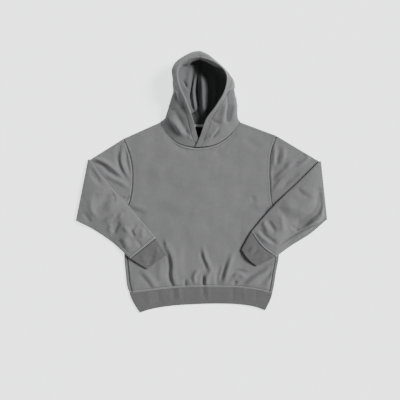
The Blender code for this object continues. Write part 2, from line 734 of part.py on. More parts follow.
def hang_inside(grid, across, up):
    """The right half's lining, which hangs slack from the rim down to the centre seam."""
    rim, seam = grid[:, :1], grid[:, -1:]
    sideways, kept = smooth(column(HANG, 0), [row[1:] for row in HANG], across).T
    slack = rim + (seam - rim) * sideways[None, :, None]
    bottom = HOOD_FLOOR_Z + 2.0
    slack[..., 2] = bottom + (rim[..., 2] - bottom) * kept[None]
    inward = (seam - rim)[..., :2]
    inward = inward / np.maximum(np.linalg.norm(inward, axis=2), 1e-6)[..., None]
    near_rim = blend(1.0, 0.85, across)[None, :, None] + np.zeros_like(slack[..., :1])
    slack[..., :2] += inward * HANG_START[0] * near_rim
    slack[..., 2] -= HANG_START[1] * near_rim[..., 0]
    weight = (blend(0.14, 0.42, up) * blend(1.0, 0.9, up))[:, None, None]
    weight = weight * blend(1.0, 0.93, across)[None, :, None]
    return grid + (slack - grid) * weight


ACROSS_HOOD = grid_stops(((0.34, FLAP_STEPS), (0.6, 5), (1.0, 2)))
UP_HOOD = grid_stops(((0.14, 2), (0.3, 2), (0.85, 4), (0.94, 2), (1.0, 2)))


def hood_half(side, lining):
    grid = hood_grid(side, ACROSS_HOOD, UP_HOOD)
    if lining and side == 0:
        grid = hang_inside(grid, ACROSS_HOOD, UP_HOOD)
    normals = hood_normals(grid, side)
    if lining:
        outer = grid - normals * SEAM / 2
        inner = outer - normals * HOOD_LINING
        name = "hood_lining"
    else:
        inner = grid + normals * SEAM / 2
        outer = inner + normals * HOOD_OUTER
        name = "hood_outer"
    name += "_right" if side == 0 else "_left"
    return sheet(name, outer, inner, (0.23, 0.23, 0.235), turn=side == 0)


def neck_tape():
    """Tape laid over the back neck seam, inside the hood."""
    x = np.linspace(-96.0, 86.0, 11)
    seam = top_y(x, True)
    rows = [np.stack([x, seam + step, np.full_like(x, 4.9)], axis=1) for step in (-4.5, 5.0)]
    upper = np.array(rows)
    lower = upper - np.array([0.0, 0.0, 0.8])
    return sheet("neck_tape", upper, lower, (0.75, 0.75, 0.74))


def neck_label():
    """Bare woven label that hangs from the tape on the inside of the back panel."""
    x = np.linspace(-34.0, 24.0, 5)
    y = np.linspace(150.0, 202.5, 4)
    grid_x, grid_y = np.meshgrid(x, y)
    upper = np.stack([grid_x, grid_y, np.full_like(grid_x, 3.1)], axis=2)
    lower = upper - np.array([0.0, 0.0, 0.7])
    return sheet("neck_label", upper, lower, (0.02, 0.02, 0.022))


for thing in list(bpy.data.objects):
    bpy.data.objects.remove(thing, do_unlink=True)

back_panel()
front_panel()
hem_rib()
for wearer_side in (0, 1):
    sleeve(wearer_side)
    cuff(wearer_side)
    hood_half(wearer_side, lining=False)
    hood_half(wearer_side, lining=True)
neck_tape()
neck_label()
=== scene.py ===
"""Pullover hoodie laid on its back with both sleeves folded in: cloth, seams and finishes.

Cloth is laid out in millimetres and turned into metres in cloth_piece. X runs across the
body, Y from the hem to the hood and Z up from the surface. Sides are the wearer's own,
so side 0 is the right side, at negative X, and side 1 is the left.
"""

import math

import bpy
import numpy as np
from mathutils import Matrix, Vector


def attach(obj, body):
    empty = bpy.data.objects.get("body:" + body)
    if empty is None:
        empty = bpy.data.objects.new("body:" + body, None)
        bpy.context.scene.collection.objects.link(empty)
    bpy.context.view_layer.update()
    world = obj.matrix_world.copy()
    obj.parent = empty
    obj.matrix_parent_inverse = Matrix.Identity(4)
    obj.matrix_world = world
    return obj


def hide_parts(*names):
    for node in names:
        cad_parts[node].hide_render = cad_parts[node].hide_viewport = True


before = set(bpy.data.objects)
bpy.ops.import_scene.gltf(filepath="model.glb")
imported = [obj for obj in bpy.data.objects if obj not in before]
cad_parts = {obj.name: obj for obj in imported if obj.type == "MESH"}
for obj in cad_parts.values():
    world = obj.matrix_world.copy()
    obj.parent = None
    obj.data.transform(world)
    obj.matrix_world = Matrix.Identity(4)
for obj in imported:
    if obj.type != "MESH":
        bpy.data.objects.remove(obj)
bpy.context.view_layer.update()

MM = 0.001
UNSTITCHED = 999.0  # millimetres from any stitched seam
SIDE_SIGN = (-1.0, 1.0)
SIDE_WORD = ("right", "left")
MIDDLE = (0.2, -6.1, 0.0)
FLEECE = 2.0
RIB = 2.2
HOOD_OUTER = 1.7
HOOD_LINING = 1.6
SEAM = 0.3
LAYER_MID = 6.0
SHOULDER_MID = 4.2
NECK_MID = 9.5
CHEST_LOFT = 3.0
CURL = 2.5
WRAP_OVER = 8.5
FOLD_HEIGHT = 6.5
FOLD_AXIS_Z = 7.0
FOLD_REACH = 3.75
SUPPORT_Z = 11.8
SLACK_Z = 0.6
HOOD_X = -4.5
HOOD_FLOOR_Z = 2.0
FLAP_STEP = 4.4

# Outline of the body, hem seam to armpit: y, x on the right side, x on the left side.
SIDES = (
    (-402.0, -262.0, 258.0),
    (-384.0, -269.0, 262.5),
    (-330.0, -276.0, 271.0),
    (-275.0, -281.0, 281.0),
    (-180.0, -280.5, 280.0),
    (-125.0, -275.0, 271.0),
    (-92.0, -270.0, 262.0),
)

# Armhole seams, armpit to shoulder tip: y, x on the right side, x on the left side.
ARMHOLES = (
    (-92.0, -270.0, 262.0),
    (-80.0, -264.0, 257.0),
    (-44.0, -255.0, 251.0),
    (-15.0, -251.5, 249.0),
    (51.0, -251.5, 247.5),
    (109.0, -264.0, 253.0),
    (157.0, -284.0, 272.0),
)

# Hem seam and lower edge of the hem: share of the width, seam y, edge y.
HEM = (
    (0.0, -402.0, -475.0),
    (0.08, -397.0, -463.0),
    (0.25, -386.0, -450.0),
    (0.4, -379.0, -445.0),
    (0.6, -378.0, -442.0),
    (0.8, -381.0, -445.0),
    (0.93, -392.0, -455.0),
    (1.0, -402.0, -467.0),
)
HEM_EDGE_X = (-224.0, 231.0)

# Neck seams across the neck: share of the width, front y, back y.
NECK = (
    (0.0, 217.0, 217.0),
    (0.08, 181.0, 213.0),
    (0.19, 147.0, 208.0),
    (0.29, 133.5, 205.5),
    (0.5, 125.0, 204.0),
    (0.7, 137.0, 205.0),
    (0.84, 162.0, 208.0),
    (0.93, 190.0, 213.0),
    (1.0, 217.0, 217.0),
)
NECK_X = (-150.0, 141.0)
LEFT_TIP_RISE = 11.0


# Hood rim, neck to forehead: share of the height, x, y, z.
RIM_RIGHT = (
    (0.0, 12.0, 126.0, 10.0),
    (0.14, -12.0, 154.0, 17.0),
    (0.3, -31.0, 214.0, 41.0),
    (0.5, -58.0, 282.0, 72.0),
    (0.7, -84.0, 345.0, 90.0),
    (0.85, -83.0, 398.0, 90.0),
    (0.94, -50.0, 425.0, 83.0),
    (0.97, -29.0, 432.0, 81.0),
    (1.0, HOOD_X, 434.0, 79.0),
)
RIM_LEFT = (
    (0.0, -22.0, 127.5, 14.0),
    (0.14, -4.0, 165.0, 25.0),
    (0.3, 17.0, 222.0, 44.0),
    (0.5, 50.0, 264.0, 70.0),
    (0.7, 83.0, 322.0, 88.0),
    (0.85, 85.0, 376.0, 89.0),
    (0.94, 55.0, 409.0, 85.0),
    (0.97, 29.0, 424.0, 82.0),
    (1.0, HOOD_X, 434.0, 79.0),
)

# Middle of each hood flap, between the rim and the side: share of the height, x, y, z.
FLAP_RIGHT = (
    (0.0, -76.0, 136.0, 8.0),
    (0.14, -78.0, 178.0, 20.0),
    (0.3, -80.0, 236.0, 39.0),
    (0.5, -90.0, 295.0, 62.0),
    (0.7, -98.0, 352.0, 74.0),
    (0.85, -96.0, 406.0, 76.0),
    (0.94, -56.0, 440.0, 74.0),
    (0.97, -31.0, 449.5, 73.0),
    (1.0, HOOD_X, 452.0, 72.0),
)
FLAP_LEFT = (
    (0.0, 62.0, 133.0, 8.0),
    (0.14, 68.0, 184.0, 24.0),
    (0.3, 78.0, 236.0, 40.0),
    (0.5, 98.0, 284.0, 57.0),
    (0.7, 106.0, 338.0, 68.0),
    (0.85, 89.0, 384.0, 72.0),
    (0.94, 48.0, 422.0, 74.0),
    (0.97, 23.0, 441.0, 73.0),
    (1.0, HOOD_X, 452.0, 72.0),
)

# Widest line of the hood: share of the height, x, y, z.
SIDE_RIGHT = (
    (0.0, -150.0, 217.3, 4.5),
    (0.14, -132.0, 229.0, 15.0),
    (0.3, -120.0, 256.0, 27.0),
    (0.5, -108.0, 302.0, 40.0),
    (0.7, -100.0, 354.0, 50.0),
    (0.85, -96.0, 408.0, 54.0),
    (0.94, -57.0, 444.0, 52.0),
    (0.97, -32.0, 457.5, 51.0),
    (1.0, HOOD_X, 461.0, 50.0),
)
SIDE_LEFT = (
    (0.0, 141.0, 217.3, 4.5),
    (0.14, 131.0, 228.0, 14.0),
    (0.3, 127.0, 250.0, 24.0),
    (0.5, 123.0, 296.0, 34.0),
    (0.7, 112.0, 345.0, 42.0),
    (0.85, 90.0, 388.0, 48.0),
    (0.94, 49.0, 427.0, 50.0),
    (0.97, 22.0, 448.0, 50.0),
    (1.0, HOOD_X, 461.0, 50.0),
)

# Where the back of the hood meets the surface: share of the height, x, y, centre seam y.
FLOOR_RIGHT = (
    (0.0, -132.0, 213.5, 204.0),
    (0.14, -108.0, 228.0, 224.0),
    (0.3, -98.0, 254.0, 252.0),
    (0.5, -84.0, 300.0, 304.0),
    (0.7, -74.0, 350.0, 356.0),
    (0.85, -62.0, 398.0, 398.0),
    (0.94, -36.0, 428.0, 422.0),
    (0.97, -21.0, 438.0, 429.0),
    (1.0, HOOD_X, 444.0, 434.0),
)
FLOOR_LEFT = (
    (0.0, 122.0, 213.5, 204.0),
    (0.14, 104.0, 228.0, 224.0),
    (0.3, 100.0, 254.0, 252.0),
    (0.5, 94.0, 300.0, 304.0),
    (0.7, 84.0, 348.0, 356.0),
    (0.85, 62.0, 384.0, 398.0),
    (0.94, 34.0, 416.0, 422.0),
    (0.97, 17.0, 432.0, 429.0),
    (1.0, HOOD_X, 444.0, 434.0),
)
ROW_SHARES = (0.0, 0.17, 0.34, 0.42, 0.5, 0.6, 0.8, 1.0)

# Slack lining on the right, rim to centre seam: share of the row, way across, height kept.
HANG = (
    (0.0, 0.0, 1.0),
    (0.1, 0.05, 0.72),
    (0.25, 0.2, 0.52),
    (0.5, 0.52, 0.3),
    (0.75, 0.82, 0.08),
    (1.0, 1.0, 0.0),
)
HANG_START = (2.0, 1.4)

# Sleeve corners and edges, each given for the right side and then the left side.
FOLD_OVERARM = ((-405.0, 81.0), (427.0, 75.0))
FOLD_UNDERARM = ((-449.5, -143.0), (449.5, -140.0))
FOREARM_OVER = (
    ((-405.0, 81.0), (-319.0, -28.0), (-268.0, -82.0), (-164.5, -203.0)),
    ((427.0, 75.0), (355.0, 5.0), (256.0, -91.0), (178.5, -180.0)),
)
FOREARM_UNDER = (
    ((-449.5, -143.0), (-395.0, -172.0), (-325.0, -219.0), (-257.0, -278.0)),
    ((449.5, -140.0), (400.0, -185.0), (328.0, -231.0), (268.0, -272.0)),
)
CUFF_OVER_END = ((-126.0, -262.5), (143.0, -243.5))
CUFF_UNDER_END = ((-196.5, -315.5), (199.5, -304.5))
CUFF_BOW = (0.0, 9.0)
CUFF_GAPE = (7.4, 12.0)


def blend(low, high, value):
    """Smooth step from 0 at low to 1 at high."""
    share = np.clip((value - low) / (high - low), 0.0, 1.0)
    return share * share * (3.0 - 2.0 * share)


def smooth(stops, values, at):
    """Cubic curve through a short list of stops."""
    stops = np.asarray(stops, float)
    values = np.asarray(values, float)
    at = np.clip(np.asarray(at, float), stops[0], stops[-1])
    steps = np.diff(stops)
    slopes = np.diff(values, axis=0) / (steps if values.ndim == 1 else steps[:, None])
    tangents = np.empty_like(values)
    tangents[0] = slopes[0]
    tangents[-1] = slopes[-1]
    tangents[1:-1] = 0.5 * (slopes[:-1] + slopes[1:])
    k = np.clip(np.searchsorted(stops, at, side="right") - 1, 0, len(stops) - 2)
    h = steps[k]
    u = (at - stops[k]) / h
    if values.ndim > 1:
        h = h[..., None]
        u = u[..., None]
    return (
        (2 * u**3 - 3 * u**2 + 1) * values[k]
        + (u**3 - 2 * u**2 + u) * h * tangents[k]
        + (3 * u**2 - 2 * u**3) * values[k + 1]
        + (u**3 - u**2) * h * tangents[k + 1]
    )


def column(table, index):
    """One column of a table."""
    return [row[index] for row in table]


def along(points, shares):
    """Points at shares of the length of a bent line."""
    points = np.asarray(points, float)
    steps = np.linalg.norm(np.diff(points, axis=0), axis=1)
    stops = np.concatenate([[0.0], np.cumsum(steps)]) / steps.sum()
    return smooth(stops, points, shares)


def neck_share(x):
    """Share of the way across the neck, from the wearer's right."""
    return (x - NECK_X[0]) / (NECK_X[1] - NECK_X[0])


def top_y(x, back):
    """Upper edge of a body panel: the shoulders and the neck between them."""
    neck = smooth(column(NECK, 0), column(NECK, 2 if back else 1), neck_share(x))
    tips = (ARMHOLES[-1][1], ARMHOLES[-1][2])
    right = np.interp(x, (tips[0], NECK_X[0]), (ARMHOLES[-1][0], NECK[0][1]))
    left = np.interp(x, (NECK_X[1], tips[1]), (NECK[-1][1], ARMHOLES[-1][0] + LEFT_TIP_RISE))
    return np.where(x < NECK_X[0], right, np.where(x > NECK_X[1], left, neck))


def top_z(x):
    """Mid height of the front panel along its upper edge."""
    share = np.clip(neck_share(x), 0.0, 1.0)
    return SHOULDER_MID + (NECK_MID - SHOULDER_MID) * np.sin(math.pi * share) ** 0.8


def outline_x(y, side):
    """Body outline on one side, from the hem seam to the shoulder tip."""
    top = ARMHOLES[-1][0] + (LEFT_TIP_RISE if side else 0.0)
    stretch = np.where(y > ARMHOLES[-2][0], (top - ARMHOLES[-2][0]) / 48.0, 1.0)
    level = np.where(y > ARMHOLES[-2][0], ARMHOLES[-2][0] + (y - ARMHOLES[-2][0]) / stretch, y)
    body = smooth(column(SIDES, 0), column(SIDES, 1 + side), level)
    armhole = smooth(column(ARMHOLES, 0), column(ARMHOLES, 1 + side), level)
    return np.where(level < ARMHOLES[0][0], body, armhole)


def wrap_length(y):
    """Cloth of the back panel that curls up and over each side."""
    return 1.0 + (math.pi * CURL + WRAP_OVER - 1.0) * blend(-96.0, -150.0, y)


def hem_y(share, edge):
    """Level of the hem rib's lower edge, or of the seam above it."""
    return smooth(column(HEM, 0), column(HEM, 2 if edge else 1), share)


def coons(bottom, top, left, right, across, up):
    """Grid between four edge lines."""
    u = across[None, :, None]
    v = up[:, None, None]
    ruled = (1 - v) * bottom[None] + v * top[None] + (1 - u) * left[:, None] + u * right[:, None]
    corners = (1 - v) * ((1 - u) * left[0] + u * right[0]) + v * ((1 - u) * left[-1] + u * right[-1])
    return ruled - corners


def panel_grid(across, up, back):
    """Mid surface of the flat part of a body panel."""
    armpit = ARMHOLES[0][0]
    levels = []
    for side in (0, 1):
        stops = (0.0, ARMPIT_SHARE, 1.0)
        levels.append(np.interp(up, stops, (HEM[0][1], armpit, SHOULDER_TIPS[side])))
    edges = []
    for side, sign in ((0, 1.0), (1, -1.0)):
        y = levels[side]
        excess = wrap_length(y)
        over = np.maximum(excess - math.pi * CURL, 0.0)
        if back:
            inset = 1.5 + (CURL + FLEECE / 2 - 1.5) * blend(1.0, 6.0, excess)
        else:
            inset = SEAM / 2 + 3.9 * blend(1.0, 5.0, excess) + over
        x = outline_x(y, side) + sign * inset
        z = LAYER_MID + (SHOULDER_MID - LAYER_MID) * blend(100.0, 160.0, y)
        edges.append(np.stack([x, y, z], axis=1))
    left, right = edges
    x = left[0, 0] + (right[0, 0] - left[0, 0]) * across
    share = (x - SIDES[0][1]) / (SIDES[0][2] - SIDES[0][1])
    bottom = np.stack([x, hem_y(share, False) + SEAM / 2, np.full_like(x, LAYER_MID)], axis=1)
    x = left[-1, 0] + (right[-1, 0] - left[-1, 0]) * across
    top = np.stack([x, top_y(x, back) - SEAM / 2, top_z(x)], axis=1)
    left[0] = bottom[0]
    right[0] = bottom[-1]
    left[-1] = top[0]
    right[-1] = top[-1]
    return coons(bottom, top, left, right, across, up)


def panel_columns(shoulder, between):
    """Columns that meet the hood at the same points of the neck seam."""
    tips = (outline_x(SHOULDER_TIPS[0], 0), outline_x(SHOULDER_TIPS[1], 1))
    right = np.linspace(NECK_X[0], RIM_RIGHT[0][1], FLAP_STEPS + 1)
    left = np.linspace(RIM_LEFT[0][1], NECK_X[1], FLAP_STEPS + 1)
    neck = np.concatenate([right, left[left > right[-1] + 5.0]])
    filled = np.interp(np.arange(0, len(neck) - 1 + 1e-6, 1.0 / between), np.arange(len(neck)), neck)
    outer_right = np.linspace(tips[0], neck[0], shoulder + 1)[:-1]
    outer_left = np.linspace(neck[-1], tips[1], shoulder + 1)[1:]
    x = np.concatenate([outer_right, filled, outer_left])
    return (x - x[0]) / (x[-1] - x[0])


FLAP_STEPS = 6
SHOULDER_TIPS = (ARMHOLES[-1][0], ARMHOLES[-1][0] + LEFT_TIP_RISE)
ARMPIT_SHARE = (ARMHOLES[0][0] - HEM[0][1]) / (ARMHOLES[-1][0] - HEM[0][1])


def flat_ring(across, arcs):
    """Shares across, upper side first, and the turn of each point round a flattened ring."""
    turns = np.linspace(90.0, -90.0, arcs + 2)[1:-1]
    ring = [(share, 90.0) for share in across]
    ring += [(1.0, turn) for turn in turns]
    ring += [(share, -90.0) for share in across[::-1]]
    ring += [(0.0, -turn) for turn in turns]
    return np.array(ring)


def armhole_line(side, shares):
    """Points of an armhole seam, from the shoulder tip down to the armpit."""
    top = ARMHOLES[-1][0] + (LEFT_TIP_RISE if side else 0.0)
    y = top + (ARMHOLES[0][0] - top) * shares
    x = outline_x(y, side) + SIDE_SIGN[side] * SEAM / 2
    return np.stack([x, y], axis=1)


def away_from(line_start, line_end, x, y):
    """Distance to the left of a line seen from its start."""
    run = np.array(line_end) - np.array(line_start)
    run = run / np.linalg.norm(run)
    return (y - line_start[1]) * run[0] - (x - line_start[0]) * run[1]


def forearm_bed(side, x, y):
    """Height of what lies under the folded forearm."""
    sign = SIDE_SIGN[side]
    armpit = (ARMHOLES[0][1 + side], ARMHOLES[0][0])
    corner = FOLD_UNDERARM[side]
    below_sleeve = sign * away_from(armpit, corner, x, y) * -1.0
    beside_body = sign * (x - sign * 280.0)
    open_floor = np.minimum(below_sleeve, beside_body)
    rest = SLACK_Z + (SUPPORT_Z - SLACK_Z) * blend(45.0, -15.0, open_floor)
    from_fold = sign * away_from(FOLD_UNDERARM[side], FOLD_OVERARM[side], x, y)
    ramp = np.sin(np.clip(from_fold / 50.0, 0.0, 1.0) * math.pi / 2)
    start = FOLD_AXIS_Z + FOLD_REACH - FOLD_HEIGHT / 2
    return start + (rest - start) * ramp


def neck_row(side, shares):
    """Neck seam of one half of the hood, front to centre back."""
    rim = (RIM_RIGHT, RIM_LEFT)[side][0][1]
    point = NECK_X[side]
    split = ROW_SHARES[2]
    front = rim + (point - rim) * np.clip(shares / split, 0.0, 1.0)
    back = point + (HOOD_X - point) * np.clip((shares - split) / (1 - split), 0.0, 1.0)
    x = np.where(shares < split, front, back)
    y = np.where(shares < split, top_y(x, False), top_y(x, True)) + SEAM
    front_z = top_z(x)
    if side == 1:
        front_z = front_z + FLAP_STEP * blend(60.0, 15.0, x)
    fall = blend(split, split + 0.12, shares)
    z = np.where(shares < split, front_z, SHOULDER_MID + (HOOD_FLOOR_Z - SHOULDER_MID) * fall)
    return np.stack([x, y, z], axis=1)


def hood_grid(side, across, up):
    """Surface between the outer hood and its lining: rows run from the rim to the seam."""
    tables = (
        (RIM_RIGHT, FLAP_RIGHT, SIDE_RIGHT, FLOOR_RIGHT),
        (RIM_LEFT, FLAP_LEFT, SIDE_LEFT, FLOOR_LEFT),
    )[side]
    stops = column(RIM_RIGHT, 0)
    rim, flap, wide = (smooth(stops, [row[1:] for row in table], up) for table in tables[:3])
    floor_x, floor_y, seam_y = smooth(stops, [row[1:] for row in tables[3]], up).T
    floor = np.stack([floor_x, floor_y, np.full_like(up, HOOD_FLOOR_Z)], axis=1)
    seam = np.stack([np.full_like(up, HOOD_X), seam_y, floor[:, 2]], axis=1)
    upper = wide + (floor - wide) * np.array([0.12, 0.12, 0.55])
    lower = wide + (floor - wide) * np.array([0.5, 0.5, 0.9])
    middle = 0.5 * (floor + seam)
    rows = []
    for k in range(len(up)):
        knots = np.array([p[k] for p in (rim, flap, wide, upper, lower, floor, middle, seam)])
        row = smooth(ROW_SHARES, knots, across)
        if k == 0:
            first = row
        fade = max(0.0, 1.0 - up[k] / 0.45) ** 2
        row = row + (neck_row(side, across) - first) * fade
        rows.append(row)
    grid = np.array(rows)
    grid[..., 2] = np.maximum(grid[..., 2], HOOD_FLOOR_Z)
    inner = SIDE_SIGN[side]
    grid[:, -1, 0] = HOOD_X + inner * SEAM / 2
    grid[-1, :, 0] = HOOD_X + inner * SEAM / 2
    return grid


def hood_normals(grid, side):
    """Unit normals of half the hood, level at the centre seam and along the neck seam."""
    across = np.gradient(grid, axis=1)
    up = np.gradient(grid, axis=0)
    normals = np.cross(across, up) * SIDE_SIGN[side]
    normals[:, -1, 0] = 0.0
    normals[-1, :, 0] = 0.0
    flat = grid[..., 2] < HOOD_FLOOR_Z + 0.05
    normals[flat] = (0.0, 0.0, -1.0)
    seam_run = np.gradient(grid[0], axis=0)
    facing = np.stack([-seam_run[:, 1], seam_run[:, 0], np.zeros(len(seam_run))], axis=1)
    facing = facing / np.linalg.norm(facing, axis=1)[:, None]
    normals[0] -= facing * (normals[0] * facing).sum(axis=1)[:, None]
    return normals / np.linalg.norm(normals, axis=2)[..., None]


def hang_inside(grid, across, up):
    """The right half's lining, which hangs slack from the rim down to the centre seam."""
    rim, seam = grid[:, :1], grid[:, -1:]
    sideways, kept = smooth(column(HANG, 0), [row[1:] for row in HANG], across).T
    slack = rim + (seam - rim) * sideways[None, :, None]
    bottom = HOOD_FLOOR_Z + 2.0
    slack[..., 2] = bottom + (rim[..., 2] - bottom) * kept[None]
    inward = (seam - rim)[..., :2]
    inward = inward / np.maximum(np.linalg.norm(inward, axis=2), 1e-6)[..., None]
    near_rim = blend(1.0, 0.85, across)[None, :, None] + np.zeros_like(slack[..., :1])
    slack[..., :2] += inward * HANG_START[0] * near_rim
    slack[..., 2] -= HANG_START[1] * near_rim[..., 0]
    weight = (blend(0.14, 0.42, up) * blend(1.0, 0.9, up))[:, None, None]
    weight = weight * blend(1.0, 0.93, across)[None, :, None]
    return grid + (slack - grid) * weight


# ---------------------------------------------------------------- cloth as closed shells

def cloth_piece(name, outer, inner, weave, marks, closed=False, turn=False):
    """Closed shell of cloth between two grids of points.

    weave is the grain map in millimetres, with one more column on a closed round piece.
    marks are named values at each point, such as the distance to a stitched seam.
    """
    rows, columns = outer.shape[:2]
    count = rows * columns
    row, col = np.meshgrid(np.arange(rows - 1), np.arange(columns if closed else columns - 1), indexing="ij")
    row, col = row.ravel(), col.ravel()

    def corner(r, c, layer):
        """Number of a point of the shell."""
        return layer * count + r * columns + c % columns

    cells = ((row, col), (row, col + 1), (row + 1, col + 1), (row + 1, col))
    top = np.stack([corner(r, c, 0) for r, c in cells], axis=1)
    top_map = np.stack([weave[r, c] for r, c in cells], axis=1)
    faces = [top, top[:, ::-1] + count]
    maps = [top_map, top_map[:, ::-1]]
    if closed:
        steps = np.arange(columns)
        zero, last = np.zeros(columns, int), np.full(columns, rows - 1)
        strips = [((zero, steps), (zero, steps + 1)), ((last, steps + 1), (last, steps))]
    else:
        edge = [(0, c) for c in range(columns)]
        edge += [(r, columns - 1) for r in range(1, rows)]
        edge += [(rows - 1, c) for c in range(columns - 2, -1, -1)]
        edge += [(r, 0) for r in range(rows - 2, 0, -1)]
        edge = np.array(edge)
        after = np.roll(edge, -1, axis=0)
        strips = [((edge[:, 0], edge[:, 1]), (after[:, 0], after[:, 1]))]
    for first, second in strips:
        ends = (second, first, first, second)
        faces.append(np.stack([corner(*p, layer) for p, layer in zip(ends, (0, 0, 1, 1))], axis=1))
        maps.append(np.stack([weave[p] for p in ends], axis=1))
    faces = np.concatenate(faces)
    maps = np.concatenate(maps)
    if turn:
        faces, maps = faces[:, ::-1], maps[:, ::-1]

    points = np.concatenate([outer.reshape(-1, 3), inner.reshape(-1, 3)])
    mesh = bpy.data.meshes.new(name)
    mesh.vertices.add(len(points))
    mesh.vertices.foreach_set("co", ((points - MIDDLE) * MM).ravel())
    mesh.loops.add(faces.size)
    mesh.loops.foreach_set("vertex_index", faces.ravel())
    mesh.polygons.add(len(faces))
    mesh.polygons.foreach_set("loop_start", np.arange(0, faces.size, 4))
    mesh.polygons.foreach_set("use_smooth", np.ones(len(faces), bool))
    mesh.uv_layers.new(name="weave").data.foreach_set("uv", (maps * MM).ravel())
    for mark, values in marks.items():
        both = np.concatenate([values.ravel(), values.ravel()]) * MM
        mesh.attributes.new(mark, "FLOAT", "POINT").data.foreach_set("value", both)
    mesh.update(calc_edges=True)
    mesh.set_sharp_from_angle(angle=math.radians(65))
    cloth = bpy.data.objects.new(name, mesh)
    bpy.context.scene.collection.objects.link(cloth)
    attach(cloth, "root")
    return cloth


def run_lengths(grid, axis):
    """Distance along the cloth from the first point of each row or column."""
    steps = np.linalg.norm(np.diff(grid, axis=axis), axis=-1)
    start = np.zeros_like(np.take(steps, [0], axis=axis))
    return np.concatenate([start, np.cumsum(steps, axis=axis)], axis=axis)


def edge_gaps(grid):
    """Distances of every point to the four edges: first row, last row, first column, last column."""
    down = run_lengths(grid, 0)
    over = run_lengths(grid, 1)
    return down, down[-1:] - down, over, over[:, -1:] - over


def nearest_edge(grid):
    """Distance of every point to the nearest edge of its grid."""
    first, last, left, right = edge_gaps(grid)
    return np.minimum(np.minimum(first, last), np.minimum(left, right))


def closed_map(grid):
    """Grain map of a tube, with its first column repeated at the end."""
    closed = np.concatenate([grid, grid[:, :1]], axis=1)
    return np.stack([run_lengths(closed, 1), run_lengths(closed, 0)], axis=2)


def rounded(gap, thickness):
    """Half thickness of cloth that is rounded off at its edge."""
    half = thickness / 2
    near = np.clip(gap, 0.0, half)
    return np.maximum(0.12, np.sqrt(np.maximum(half ** 2 - (half - near) ** 2, 0.0)))


def sewn(gap, depth, ridge=0.8):
    """Height along a sewn edge: the dip of the seam and the soft ridge of its allowance."""
    return ridge * np.exp(-(((gap - 5.5) / 2.8) ** 2)) - depth * np.exp(-((gap / 2.1) ** 2))


def fine_ends(stops, length, first=True, last=True):
    """Adds closely spaced stops beside the ends of a run of that length."""
    near = np.array((0.25, 0.7, 1.4, 2.4, 3.7, 5.4, 7.5)) / length
    extra = [stops]
    if first:
        extra.append(near)
    if last:
        extra.append(1.0 - near)
    merged = np.unique(np.concatenate(extra))
    keep = [merged[0]]
    for value in merged[1:]:
        if value - keep[-1] > 0.2 / length or value in stops:
            keep.append(value)
    return np.array(keep)


def ripple(x, y, size, height, seed):
    """Faint uneven waviness of about that wavelength, the same on every run."""
    draw = np.random.default_rng(seed)
    total = np.zeros_like(x)
    for _ in range(9):
        angle = draw.uniform(0.0, math.tau)
        pitch = size * draw.uniform(0.6, 1.7)
        phase = draw.uniform(0.0, math.tau)
        bend = 0.6 * np.sin((x * math.sin(angle) - y * math.cos(angle)) * math.tau / (pitch * 2.3) + phase)
        total += np.sin((x * math.cos(angle) + y * math.sin(angle)) * math.tau / pitch + phase * 3 + bend)
    return height * total / 3.0


def creases(x, y, table):
    """Height of creases: height, left width, right width, then the crest's points.

    Left and right are seen looking along the crest from its first point.
    """
    total = np.zeros_like(x)
    for height, left, right, *path in table:
        line = along(path, np.linspace(0.0, 1.0, 33))
        reach = 2.6 * max(left, right)
        low, high = line.min(axis=0) - reach, line.max(axis=0) + reach
        near = (x > low[0]) & (x < high[0]) & (y > low[1]) & (y < high[1])
        if not near.any():
            continue
        px, py = x[near], y[near]
        away = np.full(px.shape, np.inf)
        aside = np.zeros(px.shape)
        share = np.zeros(px.shape)
        for k in range(32):
            start, run = line[k], line[k + 1] - line[k]
            t = np.clip(((px - start[0]) * run[0] + (py - start[1]) * run[1]) / (run @ run), 0.0, 1.0)
            dx, dy = px - start[0] - t * run[0], py - start[1] - t * run[1]
            d = np.hypot(dx, dy)
            closer = d < away
            away = np.where(closer, d, away)
            aside = np.where(closer, run[0] * dy - run[1] * dx, aside)
            share = np.where(closer, (k + t) / 32, share)
        width = np.where(aside > 0, left, right)
        taper = blend(-0.12, 0.3, share) * blend(1.12, 0.7, share)
        total[near] += height * taper * np.exp(-((away / width) ** 2))
    return total


# ---------------------------------------------------------------- body

PANEL_WIDTH = 545.0
PANEL_LENGTH = 590.0
UPPER_LENGTH = 185.0
FOREARM_LENGTH = 290.0
RIB_LENGTH = 68.0
HEM_LENGTH = 66.0

# How far the creases of each part are deepened past their tables.
CREASE_GAIN = 1.75
UPPER_GAIN = 1.7
FOREARM_GAIN = 1.6
CUFF_GAIN = 1.4
HOOD_GAIN = 1.7

